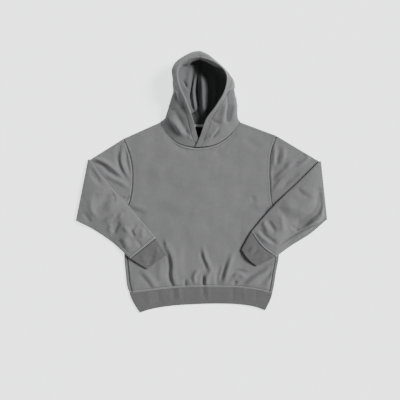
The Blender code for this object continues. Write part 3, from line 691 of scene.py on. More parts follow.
BODY_CREASES = (
    # lower right side of the body, above the hem
    (4.6, 17.0, 11.0, (-132, -226), (-112, -256), (-102, -297), (-101, -344), (-86, -388)),
    (-3.6, 8.0, 8.0, (-122, -262), (-116, -300), (-117, -344), (-98, -392)),
    (2.2, 14.0, 14.0, (-78, -226), (-78, -300), (-70, -362)),
    (2.6, 9.0, 14.0, (-216, -318), (-188, -348), (-160, -386)),
    (-2.0, 8.0, 8.0, (-226, -332), (-198, -362), (-176, -392)),
    (2.0, 14.0, 12.0, (-150, -286), (-147, -360)),
    (-1.4, 7.0, 7.0, (-141, -212), (-136, -234)),
    (1.4, 7.0, 7.0, (-131, -214), (-124, -236)),
    # middle of the hem
    (3.4, 9.0, 10.0, (6, -238), (12, -268), (24, -297), (33, -320)),
    (-2.4, 7.0, 7.0, (-4, -246), (2, -276), (14, -304), (20, -324)),
    (4.4, 7.0, 8.0, (-2, -322), (-18, -329), (-26, -344), (-22, -368)),
    (-4.6, 6.5, 6.5, (6, -338), (6, -384)),
    (2.6, 8.0, 9.0, (18, -384), (20, -348), (31, -326), (45, -304)),
    (-2.6, 7.0, 9.0, (56, -380), (56, -341), (67, -304)),
    (-2.4, 5.0, 5.0, (-60, -352), (-60, -386)),
    (1.6, 9.0, 9.0, (-44, -350), (-42, -386)),
    # left side of the hem
    (3.8, 9.0, 10.0, (81, -366), (92, -326), (103, -290), (115, -256)),
    (-2.8, 7.0, 7.0, (68, -366), (80, -322), (92, -286)),
    (3.6, 6.0, 8.0, (112, -346), (125, -337), (139, -335), (159, -346)),
    (-2.6, 5.0, 6.0, (107, -336), (121, -325), (143, -322), (163, -329)),
    (-3.6, 7.0, 7.0, (114, -374), (126, -358)),
    (-3.6, 7.0, 8.0, (130, -368), (154, -359), (184, -337), (221, -314), (246, -300)),
    (3.4, 8.0, 10.0, (159, -374), (190, -353), (226, -330), (253, -314)),
    (-3.0, 8.0, 8.0, (199, -374), (226, -355), (251, -333), (263, -310)),
    (2.6, 8.0, 8.0, (231, -376), (255, -352), (267, -324)),
    # pulls at the armpits and across the chest
    (-1.8, 8.0, 10.0, (-256, -96), (-232, -110), (-206, -118)),
    (1.6, 9.0, 9.0, (-258, -80), (-228, -92), (-196, -98)),
    (-1.8, 8.0, 8.0, (246, -92), (216, -108), (190, -114)),
    (1.5, 9.0, 9.0, (248, -74), (216, -86), (186, -88)),
    (-1.4, 9.0, 9.0, (183, -50), (190, -78)),
    (1.2, 26.0, 30.0, (-190, 60), (-120, 30), (-40, 34)),
    (1.2, 30.0, 26.0, (60, 36), (140, 20), (200, 52)),
    (1.0, 26.0, 26.0, (-170, -60), (-90, -92), (0, -96)),
    (-1.0, 24.0, 24.0, (-60, -130), (40, -140), (140, -120)),
    (-1.2, 11.0, 13.0, (-96, 146), (-76, 124), (-40, 108)),
    (-1.2, 12.0, 11.0, (98, 140), (76, 120), (40, 106)),
    (-1.0, 14.0, 14.0, (-226, 120), (-196, 132), (-160, 158)),
    (-1.0, 14.0, 14.0, (216, 122), (186, 136), (156, 160)),
)

FRONT_COLUMNS = fine_ends(panel_columns(26, 12), PANEL_WIDTH)
FRONT_ROWS = fine_ends(np.linspace(0.0, 1.0, 196), PANEL_LENGTH)
BACK_ROWS = fine_ends(np.linspace(0.0, 1.0, 90), PANEL_LENGTH)


def seam_marks(gap, run, stitched=None):
    """Marks of a piece: distance to any seam, which sets the painted shade beside it, and to the stitched
    ones with the run along them.
    """
    if stitched is None:
        stitched = np.full(gap.shape, UNSTITCHED)
    return {"painted_shade_gap": gap, "stitch_gap": stitched, "stitch_run": run}


def covered(side, x, y):
    """How far a point of the body lies inside the outline of the forearm above it."""
    sign = SIDE_SIGN[side]
    tip, low, corner = CUFF_OVER_END[side], CUFF_UNDER_END[side], FOREARM_UNDER[side][-1]
    behind_end = sign * away_from(tip, low, x, y)
    above = sign * away_from(low, corner, x, y)
    below = -sign * away_from(tip, FOREARM_OVER[side][2], x, y)
    return np.minimum(np.minimum(behind_end, above), below)


def front_panel():
    """Front of the body, with its creases, and the gathers above the hem."""
    grid = panel_grid(FRONT_COLUMNS, FRONT_ROWS, back=False)
    u = np.broadcast_to(FRONT_COLUMNS[None], grid.shape[:2])
    v = np.broadcast_to(FRONT_ROWS[:, None], grid.shape[:2])
    hem, top, right, left = edge_gaps(grid)
    x, y = grid[..., 0].copy(), grid[..., 1].copy()
    edge = np.minimum(np.minimum(hem, top), np.minimum(right, left))
    loft = CHEST_LOFT * np.sin(np.minimum(1.0, np.minimum(u, 1 - u) / 0.16) * math.pi / 2)
    loft = loft * np.sin(np.minimum(1.0, np.minimum(v / 0.12, (1 - v) / 0.16)) * math.pi / 2)
    press = CREASE_GAIN * creases(x, y, BODY_CREASES)
    press = press + 3.4 * np.exp(-(((hem - 30.0) / 27.0) ** 2))
    press = press + ripple(x, y, 95.0, 0.55, 3) + ripple(x, y, 34.0, 0.16, 4)
    gathers = np.sin(x * math.tau / 11.5 + 1.7 * np.sin(x / 37.0)) * np.exp(-hem / 9.0) * 0.35
    z = grid[..., 2] + loft + press * blend(0.0, 16.0, edge) + gathers * blend(0.0, 2.0, hem)
    low = 3.3
    z = np.where(z < low + 1.0, low + np.exp(np.minimum(z - low - 1.0, 0.0)), z)
    for side in (0, 1):
        z = np.minimum(z, 9.9 + 24.0 * blend(0.0, -16.0, covered(side, x, y)))
    on_neck = (x > NECK_X[0] - 2) & (x < NECK_X[1] + 2)
    z = z + sewn(hem, 1.3) + sewn(top, np.where(on_neck, 1.9, 0.9))
    armhole = y > ARMHOLES[0][0] + 4
    sides = np.minimum(right, left)
    z = z + sewn(sides, np.where(armhole, 1.3, 0.8))
    grid[..., 2] = z
    step = np.zeros_like(grid)
    step[..., 2] = rounded(edge, FLEECE)
    neck_gap = np.where(on_neck, top, UNSTITCHED)
    weave = np.stack([x, y], axis=2)
    # painted shadow: the seam shade reaches twice as far along the neck, where the hood's lower edge casts
    # its shadow
    marks = seam_marks(np.minimum(edge, 0.5 * neck_gap), x, np.minimum(hem, neck_gap))
    return cloth_piece("front_panel_cloth", grid + step, grid - step, weave, marks)


def back_panel():
    """Back of the body, flat on the floor, with strips that curl up over the sides."""
    across = fine_ends(panel_columns(14, 4), PANEL_WIDTH, False, False)
    grid = panel_grid(across, BACK_ROWS, back=True)
    x, y = grid[..., 0], grid[..., 1]
    grid[..., 2] = FLEECE / 2
    normals = np.zeros_like(grid)
    normals[..., 2] = 1.0
    wings = []
    for index, sign in ((0, -1.0), (-1, 1.0)):
        base = grid[:, index]
        excess = wrap_length(base[:, 1])
        arc = np.minimum(excess, math.pi * CURL)
        over = excess - arc
        shares = np.linspace(0.0, 1.0, 11)[1:]
        run = arc[:, None] * np.concatenate([shares, np.ones(6)])[None]
        run[:, 10:] += over[:, None] * np.array((0.2, 0.4, 0.6, 0.8, 0.92, 1.0))[None]
        turned = np.minimum(run, arc[:, None]) / CURL
        beyond = run - np.minimum(run, arc[:, None])
        wing = np.repeat(base[:, None], run.shape[1], axis=1)
        wing[..., 0] += sign * (CURL * np.sin(turned) - beyond)
        share = (wing[0, :, 0] - SIDES[0][1]) / (SIDES[0][2] - SIDES[0][1])
        wing[0, :, 1] = hem_y(share, False) + SEAM / 2
        wing[..., 2] += CURL * (1 - np.cos(turned))
        tilt = np.zeros_like(wing)
        tilt[..., 0] = -sign * np.sin(turned)
        tilt[..., 2] = np.cos(turned)
        wings.append((wing, tilt))
    grid = np.concatenate([wings[0][0][:, ::-1], grid, wings[1][0]], axis=1)
    normals = np.concatenate([wings[0][1][:, ::-1], normals, wings[1][1]], axis=1)
    hem, top, right, left = edge_gaps(grid)
    edge = np.minimum(np.minimum(hem, top), np.minimum(right, left))
    half = rounded(edge, FLEECE)[..., None]
    x, y = grid[..., 0], grid[..., 1]
    on_neck = (x > NECK_X[0]) & (x < NECK_X[1])
    weave = np.stack([run_lengths(grid, 1), y], axis=2)
    marks = seam_marks(edge, x, np.minimum(hem, np.where(on_neck, top, UNSTITCHED)))
    return cloth_piece("back_panel_cloth", grid + normals * half, grid - normals * half, weave, marks)


def hem_rib():
    """Rib tube below the body, lying flat."""
    across = np.linspace(0.0, 1.0, 150)
    ring = flat_ring(across, 9)
    stations = fine_ends(np.linspace(0.0, 1.0, 22), RIB_LENGTH)
    share = ring[:, 0]
    turn = np.radians(ring[:, 1])
    ends = np.where(share > 0.5, 1.0, -1.0)
    layers = []
    for outside in (True, False):
        rings = []
        for down in stations:
            height = LAYER_MID + FLEECE / 2 + 0.2 + 2.0 * down
            half = rounded(np.minimum(down, 1 - down) * HEM_LENGTH, RIB)
            radius = height / 2 - RIB / 2 + (half if outside else -half)
            left = SIDES[0][1] + (HEM_EDGE_X[0] - SIDES[0][1]) * down ** 1.4
            right = SIDES[0][2] + (HEM_EDGE_X[1] - SIDES[0][2]) * down ** 1.4
            x = left + height / 2 + (right - left - height) * share + ends * radius * np.cos(turn)
            place = (x - left) / (right - left)
            y = hem_y(place, False) - SEAM
            y = y + (hem_y(place, True) - y) * down
            top = np.maximum(np.sin(turn), 0.0)
            wave = creases(x, y, HEM_CREASES) + ripple(x, y, 60.0, 0.35, 8)
            wave = wave * blend(0.0, 0.15, np.minimum(share, 1 - share)) * top
            inward = sewn(down * HEM_LENGTH, 1.2, 0.3)
            z = height / 2 + (radius + inward * top) * np.sin(turn) + np.maximum(wave, -2.4)
            rings.append(np.stack([x, y, z], axis=1))
        layers.append(np.array(rings))
    outer, inner = layers
    marks = seam_marks(run_lengths(outer, 0), outer[..., 0])
    return cloth_piece("hem_rib_cloth", outer, inner, closed_map(outer), marks, closed=True, turn=True)


HEM_CREASES = (
    (2.2, 9.0, 9.0, (-84, -376), (-78, -432)),
    (-1.8, 8.0, 8.0, (-104, -380), (-100, -430)),
    (1.8, 9.0, 9.0, (20, -374), (26, -426)),
    (-2.0, 7.0, 7.0, (5, -374), (7, -420)),
    (-1.6, 8.0, 8.0, (116, -374), (112, -424)),
    (1.6, 9.0, 9.0, (152, -376), (160, -430)),
    (-1.6, 8.0, 8.0, (198, -382), (196, -432)),
    (1.5, 10.0, 10.0, (-196, -392), (-188, -446)),
    (-1.4, 9.0, 9.0, (-160, -388), (-154, -440)),
)


# ---------------------------------------------------------------- sleeves

UPPER_CREASES = (
    (   # right sleeve, armhole to fold
        (4.4, 9.0, 8.0, (-400, 85), (-371, 79), (-346, 68), (-321, 50), (-290, 24)),
        (-3.4, 7.0, 7.0, (-398, 73), (-362, 60), (-340, 39), (-313, 22), (-288, 10)),
        (3.8, 9.0, 9.0, (-346, 26), (-324, 14), (-295, 0), (-262, -20)),
        (-3.0, 8.0, 7.0, (-297, 138), (-302, 108), (-303, 79), (-292, 43), (-274, 14)),
        (3.4, 8.0, 8.0, (-284, 128), (-291, 90), (-282, 50), (-262, 14)),
        (-2.6, 5.0, 5.0, (-273, 112), (-272, 79), (-263, 40)),
        (-5.0, 4.0, 5.0, (-288, -60), (-272, -60), (-256, -46)),
        (3.0, 6.0, 6.0, (-286, -72), (-268, -74), (-254, -60)),
        (-2.0, 12.0, 12.0, (-410, -20), (-370, -36), (-330, -44)),
        (2.0, 14.0, 14.0, (-420, 20), (-380, 2), (-340, -8)),
    ),
    (   # left sleeve
        (3.4, 7.0, 8.0, (266, 132), (263, 97), (259, 58)),
        (-2.6, 6.0, 6.0, (280, 128), (277, 94), (268, 62)),
        (2.4, 8.0, 8.0, (300, 126), (296, 90), (284, 58)),
        (-3.4, 7.0, 7.0, (312, 67), (281, 43), (253, 24)),
        (3.6, 8.0, 8.0, (332, 60), (299, 36), (262, 4)),
        (-3.2, 9.0, 8.0, (392, 110), (360, 85), (326, 56)),
        (4.4, 9.0, 7.0, (404, 103), (368, 68), (331, 43), (295, 16), (254, -38)),
        (-3.0, 5.0, 8.0, (357, 32), (320, 6), (292, -24)),
        (-5.0, 4.0, 5.0, (250, -44), (262, -80)),
        (2.0, 12.0, 12.0, (426, 30), (390, 6), (350, -4)),
        (-1.8, 12.0, 12.0, (420, -16), (380, -30), (340, -34)),
    ),
)

FOREARM_CREASES = (
    (   # right sleeve, fold to cuff
        (-4.2, 9.0, 9.0, (-404, 50), (-387, 22), (-364, -8)),
        (2.6, 10.0, 9.0, (-388, -50), (-398, -78), (-392, -108), (-372, -132)),
        (-4.2, 22.0, 13.0, (-322, -36), (-346, -62), (-368, -88), (-384, -116)),
        (2.2, 12.0, 16.0, (-306, -44), (-316, -78), (-338, -108)),
        (-2.6, 6.0, 7.0, (-322, -28), (-314, -52), (-316, -78)),
        (1.6, 8.0, 8.0, (-344, -30), (-364, -42), (-380, -44)),
        (4.2, 7.0, 9.0, (-350, -145), (-330, -134), (-303, -115)),
        (3.2, 7.0, 8.0, (-302, -131), (-283, -111)),
        (-4.2, 8.0, 9.0, (-296, -144), (-308, -166), (-320, -188)),
        (3.2, 8.0, 8.0, (-328, -150), (-332, -184)),
        (-3.6, 5.5, 5.5, (-234, -152), (-255, -177)),
        (-3.4, 5.5, 5.5, (-256, -173), (-242, -197)),
        (3.2, 8.0, 8.0, (-281, -164), (-260, -178)),
        (-3.8, 7.0, 7.0, (-198, -142), (-220, -157)),
        (2.8, 9.0, 9.0, (-211, -164), (-214, -204)),
        (3.4, 12.0, 12.0, (-280, -200), (-264, -240)),
        (-2.6, 7.0, 7.0, (-175, -194), (-168, -212)),
        (-2.8, 9.0, 9.0, (-424, -114), (-401, -147)),
        (-2.4, 8.0, 8.0, (-300, -206), (-272, -250)),
        (-2.2, 7.0, 7.0, (-236, -206), (-216, -238)),
    ),
    (   # left sleeve
        (-6.6, 15.0, 19.0, (430, -18), (430, -80), (408, -116), (372, -145), (338, -183)),
        (5.6, 14.0, 11.0, (449, -60), (433, -116), (394, -153), (352, -186)),
        (-3.0, 8.0, 8.0, (324, -158), (354, -178)),
        (2.4, 22.0, 22.0, (311, -60), (318, -112)),
        (-4.0, 7.0, 7.0, (238, -142), (266, -179)),
        (4.0, 8.0, 8.0, (219, -142), (241, -178)),
        (-4.4, 7.0, 7.0, (208, -172), (236, -201), (272, -225)),
        (4.0, 7.0, 8.0, (197, -178), (221, -203), (250, -223)),
        (3.0, 11.0, 11.0, (286, -116), (297, -184)),
        (-4.2, 3.4, 3.4, (276, -232), (314, -206), (350, -185), (392, -163), (432, -146)),
        (-4.4, 16.0, 18.0, (344, -130), (368, -156), (384, -128)),
        (-2.4, 9.0, 9.0, (340, -20), (366, -48), (392, -58)),
    ),
)

FRONT_OF_ARM = fine_ends(np.linspace(0.0, 1.0, 74), 190.0)


def sleeve(side):
    """Tube from the armhole to the cuff seam, turned back on itself at the fold."""
    sign = SIDE_SIGN[side]
    ring = flat_ring(FRONT_OF_ARM, 7)
    turn = np.radians(ring[:, 1])
    share = ring[:, 0]
    ends = np.where(share > 0.5, 1.0, -1.0)
    over = np.array(FOLD_OVERARM[side])
    under = np.array(FOLD_UNDERARM[side])
    fold_run = (under - over) / np.linalg.norm(under - over)
    outward = np.array([-fold_run[1], fold_run[0]])
    outward = outward * (1.0 if outward[0] * sign > 0 else -1.0)
    fold_width = np.linalg.norm(under - over)
    armhole = armhole_line(side, share)
    straight = armhole_line(side, np.array([0.0, 1.0]))
    bow = armhole - (straight[0] + (straight[1] - straight[0]) * share[:, None])
    inner_edge = np.minimum(share, 1 - share)
    outs = fine_ends(np.linspace(0.0, 1.0, 58), UPPER_LENGTH, True, False)
    backs = fine_ends(np.linspace(0.0, 1.0, 74), FOREARM_LENGTH, False, True)
    layers = []
    for outside in (True, False):
        rings = []
        for out in outs:
            half = rounded(np.full(share.shape, out * UPPER_LENGTH), FLEECE)
            top = straight[0] + (over - straight[0]) * out
            low = straight[1] + (under - straight[1]) * out
            run = (low - top) / np.linalg.norm(low - top)
            width = np.linalg.norm(low - top)
            edge = LAYER_MID + FLEECE / 2 + (SHOULDER_MID - LAYER_MID) * blend(0.25, 0.0, share)
            edge = edge + (FOLD_HEIGHT - edge) * blend(0.0, 1.0, out)
            height = edge + 4.0 * np.sin(math.pi * out) * np.sin(math.pi * share) ** 0.7
            radius = height / 2 - FLEECE / 2 + (half if outside else -half)
            spread = (height / 2 + (width - height) * share) / width
            seamed = np.clip(share, height / 2 / width, 1.0 - height / 2 / width)
            spread = seamed + (spread - seamed) * blend(0.0, 0.3, out)
            place = top + (low - top) * spread[:, None]
            place = place + bow * (1 - out) ** 2 + run * (ends * radius * np.cos(turn))[:, None]
            z = height / 2 + radius * np.sin(turn)
            up = np.maximum(np.sin(turn), 0.0)
            x, y = place[:, 0], place[:, 1]
            press = UPPER_GAIN * creases(x, y, UPPER_CREASES[side]) + ripple(x, y, 70.0, 0.5, 11 + side)
            press = press + ripple(x, y, 27.0, 0.14, 15 + side)
            press = press * blend(0.0, 0.06, inner_edge) * blend(0.0, 0.08, out) * blend(1.0, 0.93, out)
            press = np.maximum(press, 4.7 - height)
            rings.append(np.column_stack([place, z + (press + sewn(out * UPPER_LENGTH, 1.3)) * up]))
        for angle in np.radians(np.linspace(12.0, 168.0, 14)):
            half = FLEECE / 2 if outside else -FLEECE / 2
            round_ = FOLD_HEIGHT / 2 - FLEECE / 2 + half
            reach = FOLD_REACH - round_ * np.sin(turn)
            rounded_run = FOLD_HEIGHT / 2 + (fold_width - FOLD_HEIGHT) * share + ends * round_ * np.cos(turn)
            place = over + fold_run * rounded_run[:, None]
            place = place + outward * (reach * math.sin(angle))[:, None]
            rings.append(np.column_stack([place, FOLD_AXIS_Z - reach * math.cos(angle)]))
        for back in backs:
            half = rounded(np.full(share.shape, (1 - back) * FOREARM_LENGTH), FLEECE)
            half = half if outside else -half
            top = along(FOREARM_OVER[side], back)
            low = along(FOREARM_UNDER[side], back)
            width = np.linalg.norm(low - top)
            run = (low - top) / width
            edge = FOLD_HEIGHT + 1.0 * blend(0.0, 0.3, back)
            puff = 9.0 * np.sin(math.pi * min(back, 0.97)) ** 0.6 * np.sin(math.pi * share) ** 0.8
            height = edge + puff
            radius = height / 2 - FLEECE / 2 + half
            place = top + (low - top) * ((edge / 2 + (width - edge) * share) / width)[:, None]
            place = place + run * (ends * (edge / 2 - FLEECE / 2 + half) * np.cos(turn))[:, None]
            end_bow = np.array([run[1], -run[0]]) * sign * CUFF_BOW[side] * blend(0.7, 1.0, back)
            place = place + end_bow * np.sin(math.pi * share)[:, None]
            bed = forearm_bed(side, place[:, 0], place[:, 1])
            z = bed + height / 2 - radius * np.sin(turn)
            up = np.maximum(-np.sin(turn), 0.0)
            x, y = place[:, 0], place[:, 1]
            press = FOREARM_GAIN * creases(x, y, FOREARM_CREASES[side]) + ripple(x, y, 62.0, 0.6, 21 + side)
            press = press + ripple(x, y, 25.0, 0.16, 25 + side)
            press = press * blend(0.0, 0.1, inner_edge) * blend(0.0, 0.08, back) * blend(1.0, 0.95, back)
            press = np.maximum(press, 4.7 - height)
            rings.append(np.column_stack([place, z + (press + sewn((1 - back) * FOREARM_LENGTH, 1.2)) * up]))
        layers.append(np.array(rings))
    outer, inner = layers
    weave = closed_map(outer)
    around, down = weave[:, :-1, 0], weave[:, :-1, 1]
    cuff_gap = down[-1:] - down
    marks = seam_marks(np.minimum(down, cuff_gap), around, cuff_gap)
    name = f"sleeve_{SIDE_WORD[side]}_cloth"
    return cloth_piece(name, outer, inner, weave, marks, closed=True, turn=side == 0)


def cuff(side):
    """Rib tube from the cuff seam to the open end."""
    sign = SIDE_SIGN[side]
    ring = flat_ring(fine_ends(np.linspace(0.0, 1.0, 44), 100.0), 9)
    turn = np.radians(ring[:, 1])
    share = ring[:, 0]
    ends = np.where(share > 0.5, 1.0, -1.0)
    starts = np.array((FOREARM_OVER[side][-1], FOREARM_UNDER[side][-1]))
    stops = np.array((CUFF_OVER_END[side], CUFF_UNDER_END[side]))
    downs = fine_ends(np.linspace(0.0, 1.0, 22), RIB_LENGTH)
    layers = []
    for outside in (True, False):
        rings = []
        for down in downs:
            half = rounded(min(down, 1 - down) * RIB_LENGTH, RIB) * (1 if outside else -1)
            shift = (stops - starts) / np.linalg.norm(stops - starts, axis=1)[:, None]
            top, low = starts + shift * SEAM * 1.4 + (stops - starts) * down * 0.994
            width = np.linalg.norm(low - top)
            run = (low - top) / width
            edge = FOLD_HEIGHT + 1.0
            gape = (CUFF_GAPE[side] - edge) * down * np.sin(math.pi * share)
            height = edge + gape + 1.2 * math.sin(math.pi * down) * np.sin(math.pi * share)
            radius = height / 2 - RIB / 2 + half
            place = top + (low - top) * ((edge / 2 + (width - edge) * share) / width)[:, None]
            place = place + run * (ends * (edge / 2 - RIB / 2 + half) * np.cos(turn))[:, None]
            bow = np.array([run[1], -run[0]]) * sign * CUFF_BOW[side] * (1.0 - 0.4 * down)
            place = place + bow * np.sin(math.pi * share)[:, None]
            bed = forearm_bed(side, place[:, 0], place[:, 1])
            up = np.maximum(-np.sin(turn), 0.0)
            x, y = place[:, 0], place[:, 1]
            press = CUFF_GAIN * creases(x, y, CUFF_CREASES[side]) + ripple(x, y, 40.0, 0.25, 31 + side)
            press = np.maximum(press * blend(0.0, 0.2, np.minimum(share, 1 - share)), 5.2 - height)
            z = bed + height / 2 - radius * np.sin(turn) + (press + sewn(down * RIB_LENGTH, 1.2, 0.3)) * up
            rings.append(np.column_stack([place, z]))
        layers.append(np.array(rings))
    outer, inner = layers
    weave = closed_map(outer)
    marks = seam_marks(weave[:, :-1, 1], weave[:, :-1, 0])
    name = f"cuff_{SIDE_WORD[side]}_cloth"
    return cloth_piece(name, outer, inner, weave, marks, closed=True, turn=side == 0)


CUFF_CREASES = (
    (
        (-2.6, 8.0, 8.0, (-173, -262), (-182, -282), (-192, -300)),
        (1.6, 8.0, 8.0, (-158, -232), (-160, -262)),
        (1.6, 8.0, 8.0, (-212, -262), (-208, -290)),
    ),
    (
        (-2.2, 6.0, 6.0, (205, -246), (181, -265)),
        (2.2, 6.0, 7.0, (194, -236), (172, -250)),
        (1.6, 8.0, 8.0, (232, -262), (214, -284)),
    ),
)


# ---------------------------------------------------------------- hood

BAND = 26.0
BAND_STITCH = 23.5
HOOD_ROWS = fine_ends(np.linspace(0.0, 1.0, 118), 470.0)
DENSE_ROW = np.linspace(0.0, 1.0, 261)

# Creases pressed outward from the hood's outer face, then those of the slack lining.
HOOD_CREASES = (
    (
        (-6.0, 15.0, 12.0, (-106, 334), (-84, 288), (-60, 244)),
        (-2.6, 10.0, 10.0, (-104, 262), (-84, 232), (-66, 190)),
        (5.0, 11.0, 11.0, (-118, 236), (-94, 206), (-62, 160)),
        (3.2, 8.0, 8.0, (-92, 214), (-74, 188), (-62, 170)),
        (-2.0, 8.0, 8.0, (-112, 210), (-96, 190), (-84, 172)),
        (2.6, 10.0, 10.0, (-88, 322), (-80, 296), (-70, 262)),
        (2.4, 7.0, 7.0, (-52, 176), (-34, 156), (-18, 146)),
        (-2.4, 6.0, 6.0, (-62, 190), (-42, 166), (-24, 152)),
    ),
    (
        (-5.4, 14.0, 12.0, (106, 304), (102, 262), (98, 210)),
        (4.0, 10.0, 10.0, (118, 290), (112, 256), (106, 216)),
        (3.6, 10.0, 10.0, (88, 282), (80, 250), (70, 206)),
        (3.0, 12.0, 12.0, (104, 372), (108, 340), (106, 316)),
        (-4.0, 13.0, 11.0, (116, 334), (106, 312), (92, 296)),
        (2.4, 6.0, 6.0, (58, 196), (44, 178), (26, 160)),
        (-2.2, 6.0, 6.0, (66, 190), (52, 170), (36, 154)),
        (-1.8, 5.0, 5.0, (34, 222), (50, 214), (62, 212)),
    ),
)

LINING_CREASES = (
    (
        (10.0, 8.0, 13.0, (-30, 430), (-38, 396), (-46, 340), (-52, 282)),
        (-12.0, 5.0, 5.0, (-27, 404), (-31, 380), (-37, 336), (-44, 290)),
        (-2.0, 7.0, 7.0, (-66, 366), (-64, 345), (-56, 316)),
        (16.0, 6.0, 7.0, (-17, 392), (-25, 350), (-29, 318), (-24, 276), (-16, 238)),
        (-9.0, 5.0, 5.0, (-12, 392), (-22, 336), (-14, 300), (-2, 270)),
        (5.0, 6.0, 6.0, (-74, 356), (-62, 336), (-52, 316)),
        (-5.0, 5.0, 5.0, (-68, 360), (-58, 344), (-50, 328)),
        (-4.0, 6.0, 6.0, (-56, 310), (-44, 284), (-32, 250)),
    ),
    (
        (4.0, 8.0, 8.0, (28, 396), (32, 340), (26, 290)),
        (5.0, 9.0, 9.0, (44, 390), (50, 330), (46, 284)),
    ),
)

# Fold of the lining that stands up along the centre seam.
CENTRE_FOLD = ((35.0, 15.0, 15.0, (-2, 400), (3, 350), (5, 300), (7, 262), (9, 216)),)


def along_rows(grid, values, distances):
    """Values of a grid read at given distances along each of its rows."""
    lengths = run_lengths(grid, 1)
    out = np.empty((grid.shape[0], distances.shape[1], values.shape[2]))
    for k in range(grid.shape[0]):
        for axis in range(values.shape[2]):
            out[k, :, axis] = np.interp(distances[k], lengths[k], values[k, :, axis])
    return out


def lining_line(grid, side):
    """The surface that the lining hangs on: slack on the right, with a sagging fold at the forehead."""
    hung = hang_inside(grid, DENSE_ROW, HOOD_ROWS) if side == 0 else grid.copy()
    up, across = HOOD_ROWS[:, None], DENSE_ROW[None]
    sag = blend(0.88, 0.965, up) * np.sin(math.pi * np.clip(across / 0.42, 0.0, 1.0)) ** 0.8
    hung[..., 1] -= 20.0 * sag
    hung[..., 2] -= 16.0 * sag
    press = creases(hung[..., 0], hung[..., 1], LINING_CREASES[side])
    if side == 0:
        press = press * blend(0.02, 0.14, across)
    else:
        press = np.maximum(press, 0.0) * blend(30.0, 8.0, hung[..., 2]) * blend(0.3, 0.5, across)
    press = press * blend(1.0, 0.9, across)
    fold = creases(hung[..., 0], hung[..., 1], CENTRE_FOLD) * blend(34.0, 10.0, hung[..., 2])
    press = press + fold * (blend(0.78, 0.9, across) if side == 0 else blend(0.3, 0.5, across))
    press = press * blend(0.15, 0.35, up) * blend(0.98, 0.9, up)
    hung[..., 2] = np.maximum(hung[..., 2] + press, np.minimum(hung[..., 2], HOOD_FLOOR_Z + 0.6))
    return hung


def outward_normals(grid, side):
    """Unit normals of the hood's surface that keep its two halves face to face at their seam."""
    normals = hood_normals(grid, side)
    for _ in range(3):
        inner = normals[1:-1, 1:-1]
        inner += normals[:-2, 1:-1] + normals[2:, 1:-1] + normals[1:-1, :-2] + normals[1:-1, 2:]
        inner /= np.linalg.norm(inner, axis=2)[..., None]
    return normals


def shell(name, middle, normals, thickness, gap, weave, marks, side):
    """Cloth of that thickness about a middle surface."""
    half = rounded(gap, thickness)[..., None]
    return cloth_piece(name, middle + normals * half, middle - normals * half, weave, marks, turn=side == 0)


